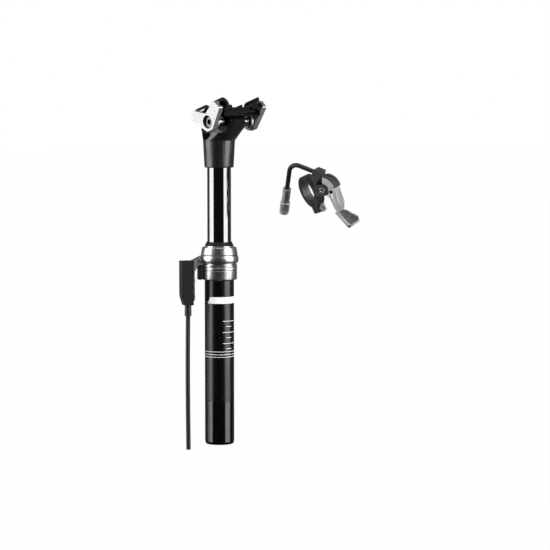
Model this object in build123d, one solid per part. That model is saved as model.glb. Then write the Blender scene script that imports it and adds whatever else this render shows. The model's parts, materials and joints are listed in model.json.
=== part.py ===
from build123d import *
import math
import os

# Dropper seatpost with its cable actuator, saddle clamp and thumb remote.
# Millimetres, +Z up along the post, +X forward, +Y to the rider's left.
# The origin is on the post axis, at the underside of the collar.

# Shared clearances and tools
fit_gap = 0.05
run_gap = 0.1
seat_gap = 0.3
lug_gap = 0.1
overrun = 1.0
thread_gap = 0.05

# Outer tube and its end sleeve
tube_r = 13.6
tube_wall = 1.2
tube_low_z = -112.5
tube_top_z = 24.5
neck_step = 0.2
joint_line = 0.3
spigot_length = 12.0
spigot_wall = 0.6
sleeve_low_z = -152.8
sleeve_chamfer = 2.3

# Stanchion
stanchion_r = 11.0
stanchion_wall = 1.3
stanchion_low_z = -40.0
travel = 65.0
head_low_z = 103.5
head_sleeve_height = 24.9
stanchion_seat = 22.0

# Collar rings
lock_ring_r = 16.35
lock_ring_height = 9.1
lock_ring_chamfer = 0.9
seal_ring_r = 14.4
seal_ring_height = 1.1
ring_gap = 0.5
collar_ring_r = 16.45
collar_ring_height = 4.7
collar_groove = 0.25
neck_ring_r = 15.4
neck_ring_height = 1.4
actuator_ring_r = 17.85
actuator_ring_height = 6.6
actuator_ring_crown = 0.7
actuator_ring_chamfer_height = 2.2
cap_low_r = 17.25
cap_high_r = 15.8
cap_height = 7.5
cap_step_r = 13.25
cap_step_height = 1.4
wiper_r = 13.1
wiper_lip_r = 11.5
wiper_height = 3.6
wiper_seat_depth = 3.4
wiper_seat_r = 12.6
wiper_foot_height = 0.5
collar_bevel = 0.3

# Bushes and guide keys
upper_bush_length = 18.0
upper_bush_low_z = 3.0
lower_bush_length = 12.0
bush_slot = 3.6
key_count = 3
key_width = 2.0
key_length = 14.0
key_depth = 0.6
key_bite = 0.25
key_above_bush = 3.0

# Cable actuator beside the collar
actuator_turn = 65.0
housing_in_r = 25.9
housing_depth = 11.4
housing_width = 11.0
housing_top_z = 18.0
housing_low_z = -22.9
housing_bevel_height = 9.8
housing_bevel_in = 3.0
housing_round = 1.6
housing_wall = 1.5
arm_width = 9.0
arm_thickness = 4.2
arm_low_z = 14.6
arm_flank_z = 8.0
arm_flange = 1.4
arm_flank_step = 1.05
cover_screw_r = 0.9
cover_screw_head_r = 1.7
cover_screw_head = 1.0
cover_thickness = 1.4
cover_gap = 0.15
bracket_r_in = 17.4
bracket_thickness = 3.0
bracket_low_z = 0.3
bracket_width = 6.5

# Bell crank in the arm and the housing
crank_r = 20.0
crank_z = 17.0
crank_pin_r = 1.25
crank_width = 3.0
crank_hub_r = 2.5
crank_wall = 2.2
crank_tip_gap = 0.2
crank_drop = 3.4
crank_eye_wall = 0.8
crank_sweep_z = 4.6
crank_roof = 0.6
barrel_r = 1.8
barrel_length = 3.4

# Cable at the actuator
cable_inset = 4.1
wire_r = 0.6
ferrule_r = 3.1
ferrule_length = 10.2
ferrule_sink = 5.0
ferrule_neck_r = 2.4
ferrule_gap = 0.9
cord_r = 2.1
cord_low_z = -157.5
cord_bow = 0.5
cord_bow_shares = (0, 0.75, 1, 0.7, 0)
cord_bend_share = 0.45

# Pull rod between the tubes and the rocker in the end plug
pull_rod_r = 0.5
pull_rod_axis_r = 11.72
pull_head_r = 0.62
pull_head_height = 1.2
fork_depth = 1.3
pull_travel = 2.9
rocker_pin_r = 1.0
rocker_rise = 22.0
rocker_pivot_r = 6.0
rocker_width = 3.0
rocker_height = 3.0
rocker_eye_r = 2.1
rocker_pin_length = 9.7
valve_pin_r = 1.2
valve_travel = 1.0
valve_bore_top_gap = 2.0

# Inner cartridge
cylinder_r = 8.6
cylinder_wall = 1.2
cylinder_low_z = -36.0
cylinder_top_z = 98.0
rod_r = 4.0
rod_bore_r = 1.5
rod_top_z = -12.0
rod_stud_r = 3.4
piston_height = 8.0
seal_head_height = 9.0
retainer_height = 8.0
top_nut_height = 8.0
top_nut_flange = 5.0
floating_piston_z = 52.0
floating_piston_height = 8.0
seal_width = 1.6
seal_depth = 0.9
plug_inset = 7.8
plug_above_rocker = 10.4
pocket_half_height = 5.0
end_cap_height = 5.0
end_cap_socket_r = 6.0

# Saddle head
head_low_r = 13.5
head_top_r = 14.75
head_edge = 0.8
yoke_top_z = 142.6
yoke_front_x = 15.0
yoke_rear_x = -31.0
yoke_half_width = 12.0
yoke_round = 6.0
yoke_tilt = 8.0
yoke_corner_share = 0.999
scoop_r = 7.4
scoop_x = 3.4
scoop_z = 136.0

# Saddle clamp, in its own frame about the cross bolt
clamp_x = -16.5
clamp_z = 145.8
clamp_tilt = 17.0
drum_r = 9.5
drum_half = 9.5
drum_slit = 0.9
drum_slit_y = 4.0
rail_r = 3.5
rail_half_spacing = 22.0
rail_height = 10.5
hook_wall = 3.4
hook_half_length = 19.5
hook_notch = 4.5
rail_relief = 0.3
beam_half_length = 17.5
beam_low = 4.3
beam_high = 8.6
beam_end_low = 0.5
beam_knee_x = 10.2
web_in_y = 12.0
rail_split = 0.6
hook_reach = 0.8
plate_face_y = 29.0
plate_thickness = 5.3
plate_pad = 1.1
plate_pad_drop = 5.25
plate_lobe_x = 15.2
plate_lobe_z = 16.0
plate_corner_x = 20.5
plate_corner_z = 8.2
plate_knee_x = 11.8
plate_boss_r = 7.5
plate_valley_z = 8.3
plate_lean = 6.0
plate_round = 1.2
plate_boss_in = 19.6
bolt_r = 3.0
bolt_head_r = 4.9
bolt_head_height = 3.6
bolt_seat_y = 22.3
bolt_well_r = 6.0
socket_r = 2.6
socket_depth = 2.4
nut_r = 5.4
nut_length = 4.6
spacer_r = 3.9

# Thumb remote beside the post, placed as right, up and near in the view from behind
remote_right = 85.0
remote_up = 82.0
view_turn = 48.0
band_axis_shares = (-0.83, -0.38, 0.41)
lever_axis_shares = (-0.42, -0.2, 0.88)
bar_r = 11.1
band_wall = 4.4
band_width = 8.0
band_slit = 1.6
pinch_out = 5.6
pinch_half = 6.0
pinch_bolt_r = 1.9
pinch_head_r = 3.4
pinch_head_height = 2.6
pinch_socket_r = 1.5
pinch_socket_depth = 1.8

# Lever, in the frame of its pivot
pivot_a = 18.9
pivot_b = 4.6
pivot_c = 10.6
lever_half = 6.0
hub_r = 5.4
hub_half = 3.4
hub_gap = 0.8
web_low_x = 9.5
web_low_z = 8.6
web_waist_x = 8.3
web_waist_z = 3.0
web_high_x = 9.4
web_shoulder_z = 10.8
web_high_z = 14.0
lug_thickness = 2.8
lug_root = 8.1
pivot_bolt_r = 2.0
pivot_head_r = 2.9
pivot_head_height = 1.6
pivot_socket_r = 1.4
pivot_socket_depth = 1.2
bush_wall = 0.8
track_r = 13.6
track_wall = 1.4
track_groove_r = 12.0
track_rib = 1.8
track_first = 12.0
track_last = 86.0
cable_turn = 70.0
cable_open_turn = 8.0
track_open_turn = 4.0
clear_turn = 5.1
arm_root_x = 3.0
arm_root_z = 6.0
arm_out_x = 11.4
arm_out_z = 3.0
arm_bend_x = 15.9
arm_bend_z = -12.4
arm_in_x = 6.4
arm_in_z = -6.6
paddle_x = 13.2
paddle_z = -18.4
paddle_length = 19.0
paddle_turn = 48.9
paddle_width = 26.0
paddle_wall = 3.4
paddle_root = 0.9
arm_heel_z = -4.6
paddle_dish_r = 60.0
paddle_dish = 1.8
paddle_round = 1.5
paddle_neck = 12.6
paddle_flare = 4.0
paddle_flare_width = 18.5
paddle_corner = 4.5
stop_near = 5.6
stop_far = 14.0
stop_half_height = 3.8
stop_half = 5.8
body_low_c = -1.5
anchor_x = 8.4
anchor_z = -1.2
anchor_r = 1.7
anchor_depth = 2.0
anchor_floor = 0.4

# Noodle and its cable adjuster, seen from behind as the remote is
noodle_r = 2.1
adjuster_bore_r = 1.0
noodle_sink = 3.0
noodle_corner_run = 24.9
noodle_bend_r = 9.0
noodle_end_right = -22.7
noodle_end_up = -1.4
noodle_end_near = -7.0
adjuster_neck_r = 3.75
adjuster_neck_length = 14.5
adjuster_sink = 4.0
adjuster_barrel_r = 4.45
adjuster_barrel_length = 12.0
adjuster_round = 1.45
adjuster_gap = 0.6
adjuster_spigot_r = 2.8
adjuster_spigot_length = 6.0

tube_bore_r = tube_r - tube_wall
collar_seat_r = tube_r - neck_step
housing_out_r = housing_in_r + housing_depth
cable_r = housing_in_r + cable_inset
plug_low_z = sleeve_low_z + plug_inset
rocker_z = plug_low_z + rocker_rise
plug_top_z = rocker_z + plug_above_rocker
pocket_low_z = rocker_z - pocket_half_height
pocket_top_z = rocker_z + pocket_half_height
stanchion_bore_r = stanchion_r - stanchion_wall
cylinder_bore_r = cylinder_r - cylinder_wall
pinch_bolt_x = bar_r + band_wall + pinch_out / 2

os.makedirs("parts", exist_ok=True)


def ring(outer, inner, low, high):
    """A straight ring about the post axis between two heights."""
    place = Location((0, 0, (low + high) / 2))
    body = place * Cylinder(outer, high - low)
    if inner > 0:
        body -= place * Cylinder(inner, (high - low) * 2)
    return body


def turned(points):
    """A closed profile of radius and height, turned about the post axis."""
    face = Plane.XZ * make_face(Polyline(*points, close=True))
    return revolve(face, Axis.Z)


def rod_along_y(radius, low, high, x=0, z=0):
    """A round bar along Y between two places."""
    place = Location((x, (low + high) / 2, z), (90, 0, 0))
    return place * Cylinder(radius, high - low)


def block(low, high):
    """A box from its low corner to its high corner."""
    sizes = [b - a for a, b in zip(low, high)]
    middle = [(a + b) / 2 for a, b in zip(low, high)]
    return Location(tuple(middle)) * Box(*sizes)


def slab(points, low, high, plane=Plane.XY):
    """A closed outline, straight between two heights over a plane."""
    face = make_face(Polyline(*points, close=True))
    return plane * (Location((0, 0, low)) * extrude(face, high - low))


def hexagon_prism(radius, low, high):
    """A six-sided bar about Z."""
    face = RegularPolygon(radius, 6)
    return Location((0, 0, low)) * extrude(face, high - low)


def write(shape, name):
    export_step(shape, f"parts/{name}.step")


# Heights up the collar
collar_ring_low = lock_ring_height + ring_gap
neck_low = collar_ring_low + collar_ring_height
actuator_ring_low = neck_low + neck_ring_height
cap_low = actuator_ring_low + actuator_ring_height + collar_bevel
cap_high = cap_low + cap_height
step_high = cap_high + cap_step_height
wiper_top = step_high + wiper_height
stanchion_top_z = head_low_z + stanchion_seat
key_low_z = stanchion_low_z + lower_bush_length + key_above_bush
crank_slot_low = crank_z - crank_wall
crank_slot_high = actuator_ring_low + actuator_ring_height
ferrule_seat_z = housing_low_z - ferrule_length + ferrule_sink
cover_screw_heights = [
    housing_low_z + arm_thickness * 2,
    arm_flank_z - arm_thickness * 2,
]

# The actuator stands in this turn about the post axis, its local X pointing outwards
actuator = Location((0, 0, 0), (0, 0, actuator_turn))


def guide_key_turns():
    """Angles of the guide keys, spaced round from opposite the actuator."""
    return [actuator_turn + 360 * (1 / 2 + number / key_count) for number in range(key_count)]


def outer_tube():
    body = ring(tube_r, tube_bore_r, tube_low_z + joint_line, 0)
    body += ring(collar_seat_r, tube_bore_r, 0, tube_top_z)
    spigot_low = tube_low_z - spigot_length
    body += ring(tube_bore_r + spigot_wall, tube_bore_r, spigot_low, tube_low_z + joint_line + overrun)
    low = stanchion_low_z - travel - seat_gap
    high = key_low_z + key_length + seat_gap
    for turn in guide_key_turns():
        cutter = block(
            (tube_bore_r - overrun, -key_width / 2 - run_gap, low),
            (tube_bore_r + key_bite + run_gap, key_width / 2 + run_gap, high),
        )
        body -= Rot(0, 0, turn) * cutter
    window = block(
        (tube_bore_r - overrun, -crank_width / 2 - seat_gap, crank_slot_low),
        (tube_r + overrun, crank_width / 2 + seat_gap, crank_slot_high),
    )
    return body - actuator * window


def end_sleeve():
    body = ring(tube_r, tube_bore_r, sleeve_low_z, tube_low_z)
    spigot_r = tube_bore_r + spigot_wall + thread_gap
    body -= ring(spigot_r, 0, tube_low_z - spigot_length - joint_line, tube_low_z + overrun)
    corner = [
        (tube_r - sleeve_chamfer / 2, sleeve_low_z - overrun),
        (tube_r + overrun, sleeve_low_z - overrun),
        (tube_r + overrun, sleeve_low_z + sleeve_chamfer),
        (tube_r, sleeve_low_z + sleeve_chamfer),
    ]
    return body - turned(corner)


def end_plug():
    plug_r = tube_bore_r - fit_gap
    body = ring(plug_r, 0, plug_low_z, plug_top_z)
    body -= ring(rod_stud_r + thread_gap, 0, pocket_top_z - overrun, plug_top_z + overrun)
    half = rocker_width / 2 + seat_gap
    pocket_low = (-rocker_pivot_r - rocker_height, -half, pocket_low_z)
    pocket = block(pocket_low, (plug_r + overrun, half, pocket_top_z))
    slot_low = (pull_rod_axis_r - pull_rod_r - run_gap - overrun, -half, pocket_top_z - overrun)
    slot = block(slot_low, (plug_r + overrun, half, plug_top_z + overrun))
    body -= actuator * (pocket + slot)
    pin_hole = rod_along_y(rocker_pin_r, -plug_r, plug_r, -rocker_pivot_r, rocker_z)
    return body - actuator * pin_hole


def end_cap():
    body = ring(tube_bore_r - fit_gap, 0, plug_low_z - end_cap_height, plug_low_z)
    socket_low = plug_low_z - end_cap_height - overrun
    return body - hexagon_prism(end_cap_socket_r, socket_low, plug_low_z + overrun)


def lock_ring():
    low_r = lock_ring_r - lock_ring_chamfer
    inner = collar_seat_r + fit_gap
    recess_r = seal_ring_r + fit_gap
    points = [
        (inner, seal_ring_height),
        (recess_r, seal_ring_height),
        (recess_r, 0),
        (low_r, 0),
        (lock_ring_r, lock_ring_chamfer),
        (lock_ring_r, lock_ring_height - collar_bevel),
        (lock_ring_r - collar_bevel, lock_ring_height),
        (inner, lock_ring_height),
    ]
    return turned(points)


def collar_ring():
    inner = collar_seat_r + fit_gap
    neck_r = collar_ring_r - ring_gap
    middle = collar_ring_low + collar_ring_height / 2
    points = [
        (inner, lock_ring_height),
        (neck_r, lock_ring_height),
        (neck_r, collar_ring_low),
        (collar_ring_r, collar_ring_low),
        (collar_ring_r, middle - collar_groove),
        (collar_ring_r - collar_groove, middle),
        (collar_ring_r, middle + collar_groove),
        (collar_ring_r, neck_low - collar_bevel),
        (collar_ring_r - collar_bevel, neck_low),
        (neck_ring_r, neck_low),
        (neck_ring_r, actuator_ring_low),
        (inner, actuator_ring_low),
    ]
    return turned(points)


def actuator_ring():
    inner = collar_seat_r + fit_gap
    high = actuator_ring_low + actuator_ring_height
    edge_r = actuator_ring_r - actuator_ring_crown
    points = [
        (inner, actuator_ring_low),
        (edge_r, actuator_ring_low),
        (actuator_ring_r, actuator_ring_low + actuator_ring_chamfer_height),
        (actuator_ring_r, high - actuator_ring_chamfer_height),
        (edge_r, high),
        (cap_low_r - collar_bevel, high),
        (cap_low_r - collar_bevel, cap_low),
        (inner, cap_low),
    ]
    half = arm_width / 2
    flange_in = housing_in_r - arm_flange
    arm = [
        (actuator_ring_r - arm_thickness, high),
        (edge_r, high),
        (housing_in_r, housing_top_z + collar_bevel),
        (housing_in_r, housing_low_z + arm_thickness),
        (flange_in, housing_low_z + arm_thickness),
        (flange_in, arm_flank_z),
        (flange_in - arm_flank_step, arm_flank_z + arm_thickness / 2),
        (flange_in - arm_thickness, arm_low_z - collar_bevel),
        (edge_r, arm_low_z),
        (actuator_ring_r - arm_thickness, arm_low_z),
    ]
    body = turned(points)
    spoke = upright(arm, half)
    spoke -= ring(inner + overrun, 0, sleeve_low_z, cap_high)
    spoke -= ring(collar_ring_r + run_gap, 0, sleeve_low_z, actuator_ring_low)
    for height in cover_screw_heights:
        spoke -= along_radius(cover_screw_r, flange_in - overrun, housing_in_r + overrun, height)
    body += actuator * spoke
    roof = crank_z + crank_hub_r + crank_roof
    slot = [
        (tube_bore_r - overrun, crank_slot_low),
        (tube_bore_r - overrun, crank_slot_high),
        (neck_ring_r + crank_roof, crank_slot_high),
        (crank_r - crank_hub_r, roof),
        (crank_r, roof),
        (crank_r + crank_hub_r, roof - crank_hub_r / 2),
        (housing_in_r, housing_top_z - housing_wall + crank_roof),
        (housing_in_r + overrun, housing_top_z - housing_wall + crank_roof),
        (housing_in_r + overrun, crank_sweep_z),
        (flange_in - arm_thickness / 2, crank_sweep_z),
        (crank_r - crank_hub_r, crank_slot_low - crank_drop),
        (crank_r - crank_hub_r, crank_slot_low),
    ]
    hole = rod_along_y(crank_pin_r, -half - overrun, half + overrun, crank_r, crank_z)
    return body - actuator * upright(slot, crank_width / 2 + seat_gap) - actuator * hole


def top_cap():
    inner = collar_seat_r + fit_gap
    throat = stanchion_r + seat_gap
    seat = wiper_seat_r + fit_gap
    seat_low = step_high - wiper_seat_depth
    points = [
        (inner, cap_low),
        (cap_low_r, cap_low),
        (cap_high_r, cap_high - collar_bevel),
        (cap_high_r - collar_bevel, cap_high),
        (cap_step_r, cap_high),
        (cap_step_r, step_high),
        (seat, step_high),
        (seat, seat_low),
        (throat, seat_low),
        (throat, tube_top_z),
        (inner, tube_top_z),
    ]
    return turned(points)


def wiper_seal():
    inner = stanchion_r + fit_gap
    foot = step_high + wiper_foot_height
    points = [
        (inner, step_high - wiper_seat_depth),
        (wiper_seat_r, step_high - wiper_seat_depth),
        (wiper_seat_r, step_high),
        (wiper_r, step_high),
        (wiper_r, foot),
        (wiper_lip_r, wiper_top),
        (inner, wiper_top),
    ]
    return turned(points)


def slotted_bush(outer, inner, low, high):
    """A bush round the stanchion with a slot that lets the pull rod through."""
    body = ring(outer, inner, low, high)
    slot = block((0, -bush_slot / 2, low - overrun), (outer + overrun, bush_slot / 2, high + overrun))
    return body - actuator * slot


def upper_bush():
    low = upper_bush_low_z
    return slotted_bush(tube_bore_r - fit_gap, stanchion_r + fit_gap, low, low + upper_bush_length)


def lower_bush():
    high = stanchion_low_z + lower_bush_length
    return slotted_bush(tube_bore_r - fit_gap, stanchion_r + fit_gap, stanchion_low_z, high)


def guide_keys():
    root_r = stanchion_r - key_depth
    tip_r = tube_bore_r + key_bite
    keys = []
    for turn in guide_key_turns():
        key = block((root_r, -key_width / 2, key_low_z), (tip_r, key_width / 2, key_low_z + key_length))
        keys.append(Rot(0, 0, turn) * key)
    return Compound(children=keys)


def stanchion():
    body = ring(stanchion_r, stanchion_bore_r, stanchion_low_z, stanchion_top_z)
    for turn in guide_key_turns():
        pocket = block(
            (stanchion_r - key_depth, -key_width / 2, key_low_z),
            (stanchion_r + overrun, key_width / 2, key_low_z + key_length),
        )
        body -= Rot(0, 0, turn) * pocket
    return body


def housing_outline(inset):
    """The housing's side outline, drawn in by a wall all round, open on the collar side."""
    inner = housing_in_r + cover_thickness + cover_gap
    slope = housing_bevel_in / housing_bevel_height
    return [
        (inner, housing_top_z - inset),
        (housing_out_r - inset, housing_top_z - inset),
        (housing_out_r - inset, housing_low_z + housing_bevel_height),
        (housing_out_r - housing_bevel_in + inset * slope - inset, housing_low_z + inset),
        (inner, housing_low_z + inset),
    ]


def upright(points, half):
    """An outline of radius and height, made a slab of that half width across the actuator."""
    face = Plane.XZ * make_face(Polyline(*points, close=True))
    return extrude(face, half, both=True)


def actuator_housing():
    shell = upright(housing_outline(0), housing_width / 2)
    outside = shell.edges().filter_by(Axis.Z).group_by(Axis.X)[-1]
    shell = fillet(outside, housing_round)
    cavity = upright(housing_outline(housing_wall), housing_width / 2 - housing_wall)
    in_edge = housing_in_r + cover_thickness + cover_gap
    mouth = block(
        (in_edge - overrun, -housing_width / 2 + housing_wall, housing_low_z + housing_wall),
        (in_edge + overrun, housing_width / 2 - housing_wall, housing_top_z - housing_wall),
    )
    shell -= cavity + mouth
    hole = Location((cable_r, 0, 0)) * ring(
        ferrule_neck_r + fit_gap, 0, housing_low_z - overrun, housing_low_z + housing_wall + overrun
    )
    return actuator * (shell - hole)


def housing_cover():
    half = housing_width / 2
    out_r = housing_in_r + cover_thickness
    plate = block((housing_in_r, -half, housing_low_z), (out_r, half, housing_top_z))
    cut = crank_width / 2 + seat_gap
    slot = block(
        (housing_in_r - overrun, -cut, crank_sweep_z),
        (out_r + overrun, cut, housing_top_z - housing_wall),
    )
    plate -= slot
    for height in cover_screw_heights:
        plate -= along_radius(cover_screw_r, housing_in_r - overrun, out_r + overrun, height)
    return actuator * plate


def along_radius(radius, low, high, height):
    """A round bar that points away from the post axis, in the actuator's own frame."""
    return Location(((low + high) / 2, 0, height), (0, 90, 0)) * Cylinder(radius, high - low)


def cover_screws():
    screws = []
    for height in cover_screw_heights:
        low = housing_in_r - arm_flange - cover_screw_head
        head = along_radius(cover_screw_head_r, low, low + cover_screw_head, height)
        hexagon = extrude(RegularPolygon(cover_screw_r / 2, 6), cover_screw_head / 2)
        socket = Location((low, 0, height), (0, 90, 0)) * hexagon
        shank = along_radius(cover_screw_r - fit_gap, low, housing_in_r + cover_thickness, height)
        screws.append(actuator * (head + shank - socket))
    return Compound(children=screws)


def crank_guard():
    half = bracket_width / 2
    low = (bracket_r_in, -half, bracket_low_z)
    high = (bracket_r_in + bracket_thickness, half, arm_low_z - collar_bevel - crank_drop)
    lug = block(
        (bracket_r_in, crank_width / 2 + seat_gap * 2, bracket_low_z),
        (bracket_r_in + bracket_thickness, half, arm_low_z - collar_bevel - fit_gap),
    )
    return actuator * (block(low, high) + lug + mirror(lug, Plane.XZ))


def bell_crank():
    half = crank_width / 2
    wall = crank_wall / 2
    tip = stanchion_r + crank_tip_gap
    end_z = crank_z - crank_drop
    hub = rod_along_y(crank_hub_r, -half, half, crank_r, crank_z)
    inner = block((tip, -half, crank_z - wall), (crank_r, half, crank_z + wall))
    outer_points = [
        (crank_r, crank_z + wall),
        (cable_r, end_z + wall),
        (cable_r, end_z - wall),
        (crank_r, crank_z - wall),
    ]
    eye = rod_along_y(barrel_r + crank_eye_wall, -half, half, cable_r, end_z)
    body = hub + inner + upright(outer_points, half) + eye
    fork = block(
        (tip - overrun, -pull_rod_r - run_gap, crank_z - crank_wall),
        (pull_rod_axis_r + fork_depth, pull_rod_r + run_gap, crank_z + crank_wall),
    )
    body -= fork
    body -= rod_along_y(crank_pin_r + fit_gap, -half - overrun, half + overrun, crank_r, crank_z)
    body -= rod_along_y(barrel_r, -half - overrun, half + overrun, cable_r, end_z)
    return actuator * body


def crank_pin():
    half = arm_width / 2
    return actuator * rod_along_y(crank_pin_r, -half, half, crank_r, crank_z)


def cable_barrel():
    half = barrel_length / 2
    return actuator * rod_along_y(barrel_r, -half, half, cable_r, crank_z - crank_drop)


def inner_wire():
    high = crank_z - crank_drop - barrel_r - crank_eye_wall - seat_gap / 2
    low = ferrule_seat_z + pull_travel + ferrule_gap
    return actuator * (Location((cable_r, 0, 0)) * ring(wire_r, 0, low, high))


def cable_ferrule():
    low = housing_low_z - ferrule_length
    body = ring(ferrule_r, 0, low, housing_low_z - fit_gap)
    body += ring(ferrule_neck_r, 0, housing_low_z - overrun, housing_low_z + housing_wall)
    body -= ring(wire_r + run_gap, 0, low - overrun, housing_low_z + housing_wall + overrun)
    body -= ring(cord_r + run_gap, 0, low - overrun, ferrule_seat_z)
    return actuator * (Location((cable_r, 0, 0)) * body)


def cable_housing():
    """The housing of the cable, which hangs from its ferrule to a bare end."""
    high = ferrule_seat_z - run_gap
    drop = high - cord_low_z
    last = len(cord_bow_shares) - 1
    places = [
        (cable_r + cord_bow * share, 0, high - drop * number / last)
        for number, share in enumerate(cord_bow_shares)
    ]
    radii = corner_radii(places)
    path = FilletPolyline(*places, radius=radii)
    section = Plane(origin=places[0], z_dir=path % 0) * Circle(cord_r)
    tube = sweep(section, path=path)
    print("cable housing radii", [round(radius) for radius in radii])
    straight_volume = math.pi * cord_r**2 * path.length
    print("cable housing volume over section times length", tube.volume / straight_volume)
    return actuator * tube


def corner_radii(places):
    """The largest arcs that each corner's two runs allow."""
    radii = []
    for before, here, after in zip(places, places[1:], places[2:]):
        first = Vector(*here) - Vector(*before)
        second = Vector(*after) - Vector(*here)
        half_turn = math.radians(first.get_angle(second)) / 2
        radii.append(cord_bend_share * min(first.length, second.length) / math.tan(half_turn))
    return radii


def pull_rod():
    high = crank_z + crank_wall / 2 + seat_gap / 2
    foot_high = rocker_z - rocker_height / 2 - seat_gap
    body = ring(pull_rod_r, 0, foot_high - pull_head_height, high + pull_head_height)
    body += ring(pull_head_r, 0, high, high + pull_head_height)
    body += ring(pull_head_r, 0, foot_high - pull_head_height, foot_high)
    return actuator * Location((pull_rod_axis_r, 0, 0)) * body


def rocker():
    half = rocker_width / 2
    wall = rocker_height / 2
    tip = tube_bore_r - seat_gap
    body = block((-rocker_pivot_r, -half, rocker_z - wall), (tip, half, rocker_z + wall))
    body += rod_along_y(rocker_eye_r, -half, half, -rocker_pivot_r, rocker_z)
    cut = half + overrun
    body -= rod_along_y(rocker_pin_r + fit_gap, -cut, cut, -rocker_pivot_r, rocker_z)
    fork = block(
        (pull_rod_axis_r - fork_depth, -pull_rod_r - run_gap, rocker_z - rocker_height),
        (tip + overrun, pull_rod_r + run_gap, rocker_z + rocker_height),
    )
    return actuator * (body - fork)


def rocker_pin():
    half = rocker_pin_length / 2
    return actuator * rod_along_y(rocker_pin_r, -half, half, -rocker_pivot_r, rocker_z)


def valve_pin():
    low = rocker_z + rocker_height / 2 + seat_gap
    return ring(valve_pin_r, 0, low, rod_top_z - valve_bore_top_gap - valve_travel - overrun)


def piston_rod():
    body = ring(rod_r, 0, plug_top_z, rod_top_z)
    body += ring(rod_stud_r, 0, pocket_top_z + seat_gap, plug_top_z + overrun)
    return body - ring(rod_bore_r, 0, pocket_top_z - overrun, rod_top_z - valve_bore_top_gap)


def grooved_disc(inner, low, height):
    """A piston body with a seal groove round its middle."""
    outer = cylinder_bore_r - run_gap
    middle = low + height / 2
    half = seal_width / 2
    body = ring(outer, inner, low, low + height)
    return body - ring(outer + overrun, outer - seal_depth, middle - half, middle + half)


def disc_seal(low, height):
    """The seal in a piston's groove."""
    outer = cylinder_bore_r - fit_gap
    middle = low + height / 2
    inner = cylinder_bore_r - run_gap - seal_depth
    return ring(outer, inner, middle - seal_width / 2 + fit_gap, middle + seal_width / 2 - fit_gap)


def cartridge_cylinder():
    return ring(cylinder_r, cylinder_bore_r, cylinder_low_z, cylinder_top_z)


def cartridge_seal_head():
    high = cylinder_low_z + seal_head_height
    return ring(cylinder_bore_r - fit_gap, rod_r + run_gap, cylinder_low_z, high)


def cartridge_retainer():
    inner = cylinder_r + fit_gap
    outer = stanchion_bore_r - fit_gap
    body = ring(outer, rod_r + seat_gap, stanchion_low_z, stanchion_low_z + retainer_height)
    return body - ring(inner, 0, cylinder_low_z, stanchion_low_z + retainer_height + overrun)


def cartridge_nut():
    body = ring(cylinder_bore_r - fit_gap, 0, cylinder_top_z - top_nut_height, cylinder_top_z)
    body += ring(stanchion_bore_r - fit_gap, 0, cylinder_top_z, cylinder_top_z + top_nut_flange)
    return body - hexagon_prism(rod_r, cylinder_top_z, cylinder_top_z + top_nut_flange + overrun)


def floating_piston():
    return grooved_disc(0, floating_piston_z, floating_piston_height)


def floating_seal():
    return disc_seal(floating_piston_z, floating_piston_height)


def piston():
    return grooved_disc(rod_r + fit_gap, rod_top_z - piston_height, piston_height)


def piston_seal():
    return disc_seal(rod_top_z - piston_height, piston_height)


def seal_ring():
    return ring(seal_ring_r, collar_seat_r + fit_gap, 0, seal_ring_height)


def saddle_head():
    """The head: a tapered sleeve on the stanchion under a yoke that is open at both sides."""
    sleeve_top = head_low_z + head_sleeve_height
    sleeve = turned(
        [
            (0, head_low_z),
            (head_low_r - head_edge, head_low_z),
            (head_low_r, head_low_z + head_edge),
            (head_top_r, sleeve_top),
            (0, sleeve_top),
        ]
    )
    low_r = head_top_r * yoke_corner_share
    width = head_top_r * 2
    base = Location((0, 0, sleeve_top)) * RectangleRounded(width, width, low_r)
    middle_x = (yoke_front_x + yoke_rear_x) / 2
    rim_place = Location((middle_x, 0, yoke_top_z), (0, yoke_tilt, 0))
    rim = rim_place * RectangleRounded(yoke_front_x - yoke_rear_x, yoke_half_width * 2, yoke_round)
    body = sleeve + loft([base, rim])
    wide = head_top_r + overrun
    body -= rod_along_y(drum_r + run_gap, -wide, wide, clamp_x, clamp_z)
    body -= rod_along_y(scoop_r, -wide, wide, scoop_x, scoop_z)
    body -= block((clamp_x, -wide, scoop_z), (scoop_x + scoop_r, wide, clamp_z + drum_r))
    body -= ring(stanchion_r + fit_gap, 0, head_low_z - overrun, stanchion_top_z + fit_gap)
    return body


clamp_frame = Location((clamp_x, 0, clamp_z), (0, clamp_tilt, 0))


def along_rail(radius, half, side):
    """A round bar along one of the saddle's rails, in the clamp's own frame."""
    place = Location((0, side * rail_half_spacing, rail_height), (0, 90, 0))
    return place * Cylinder(radius, half * 2)


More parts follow.
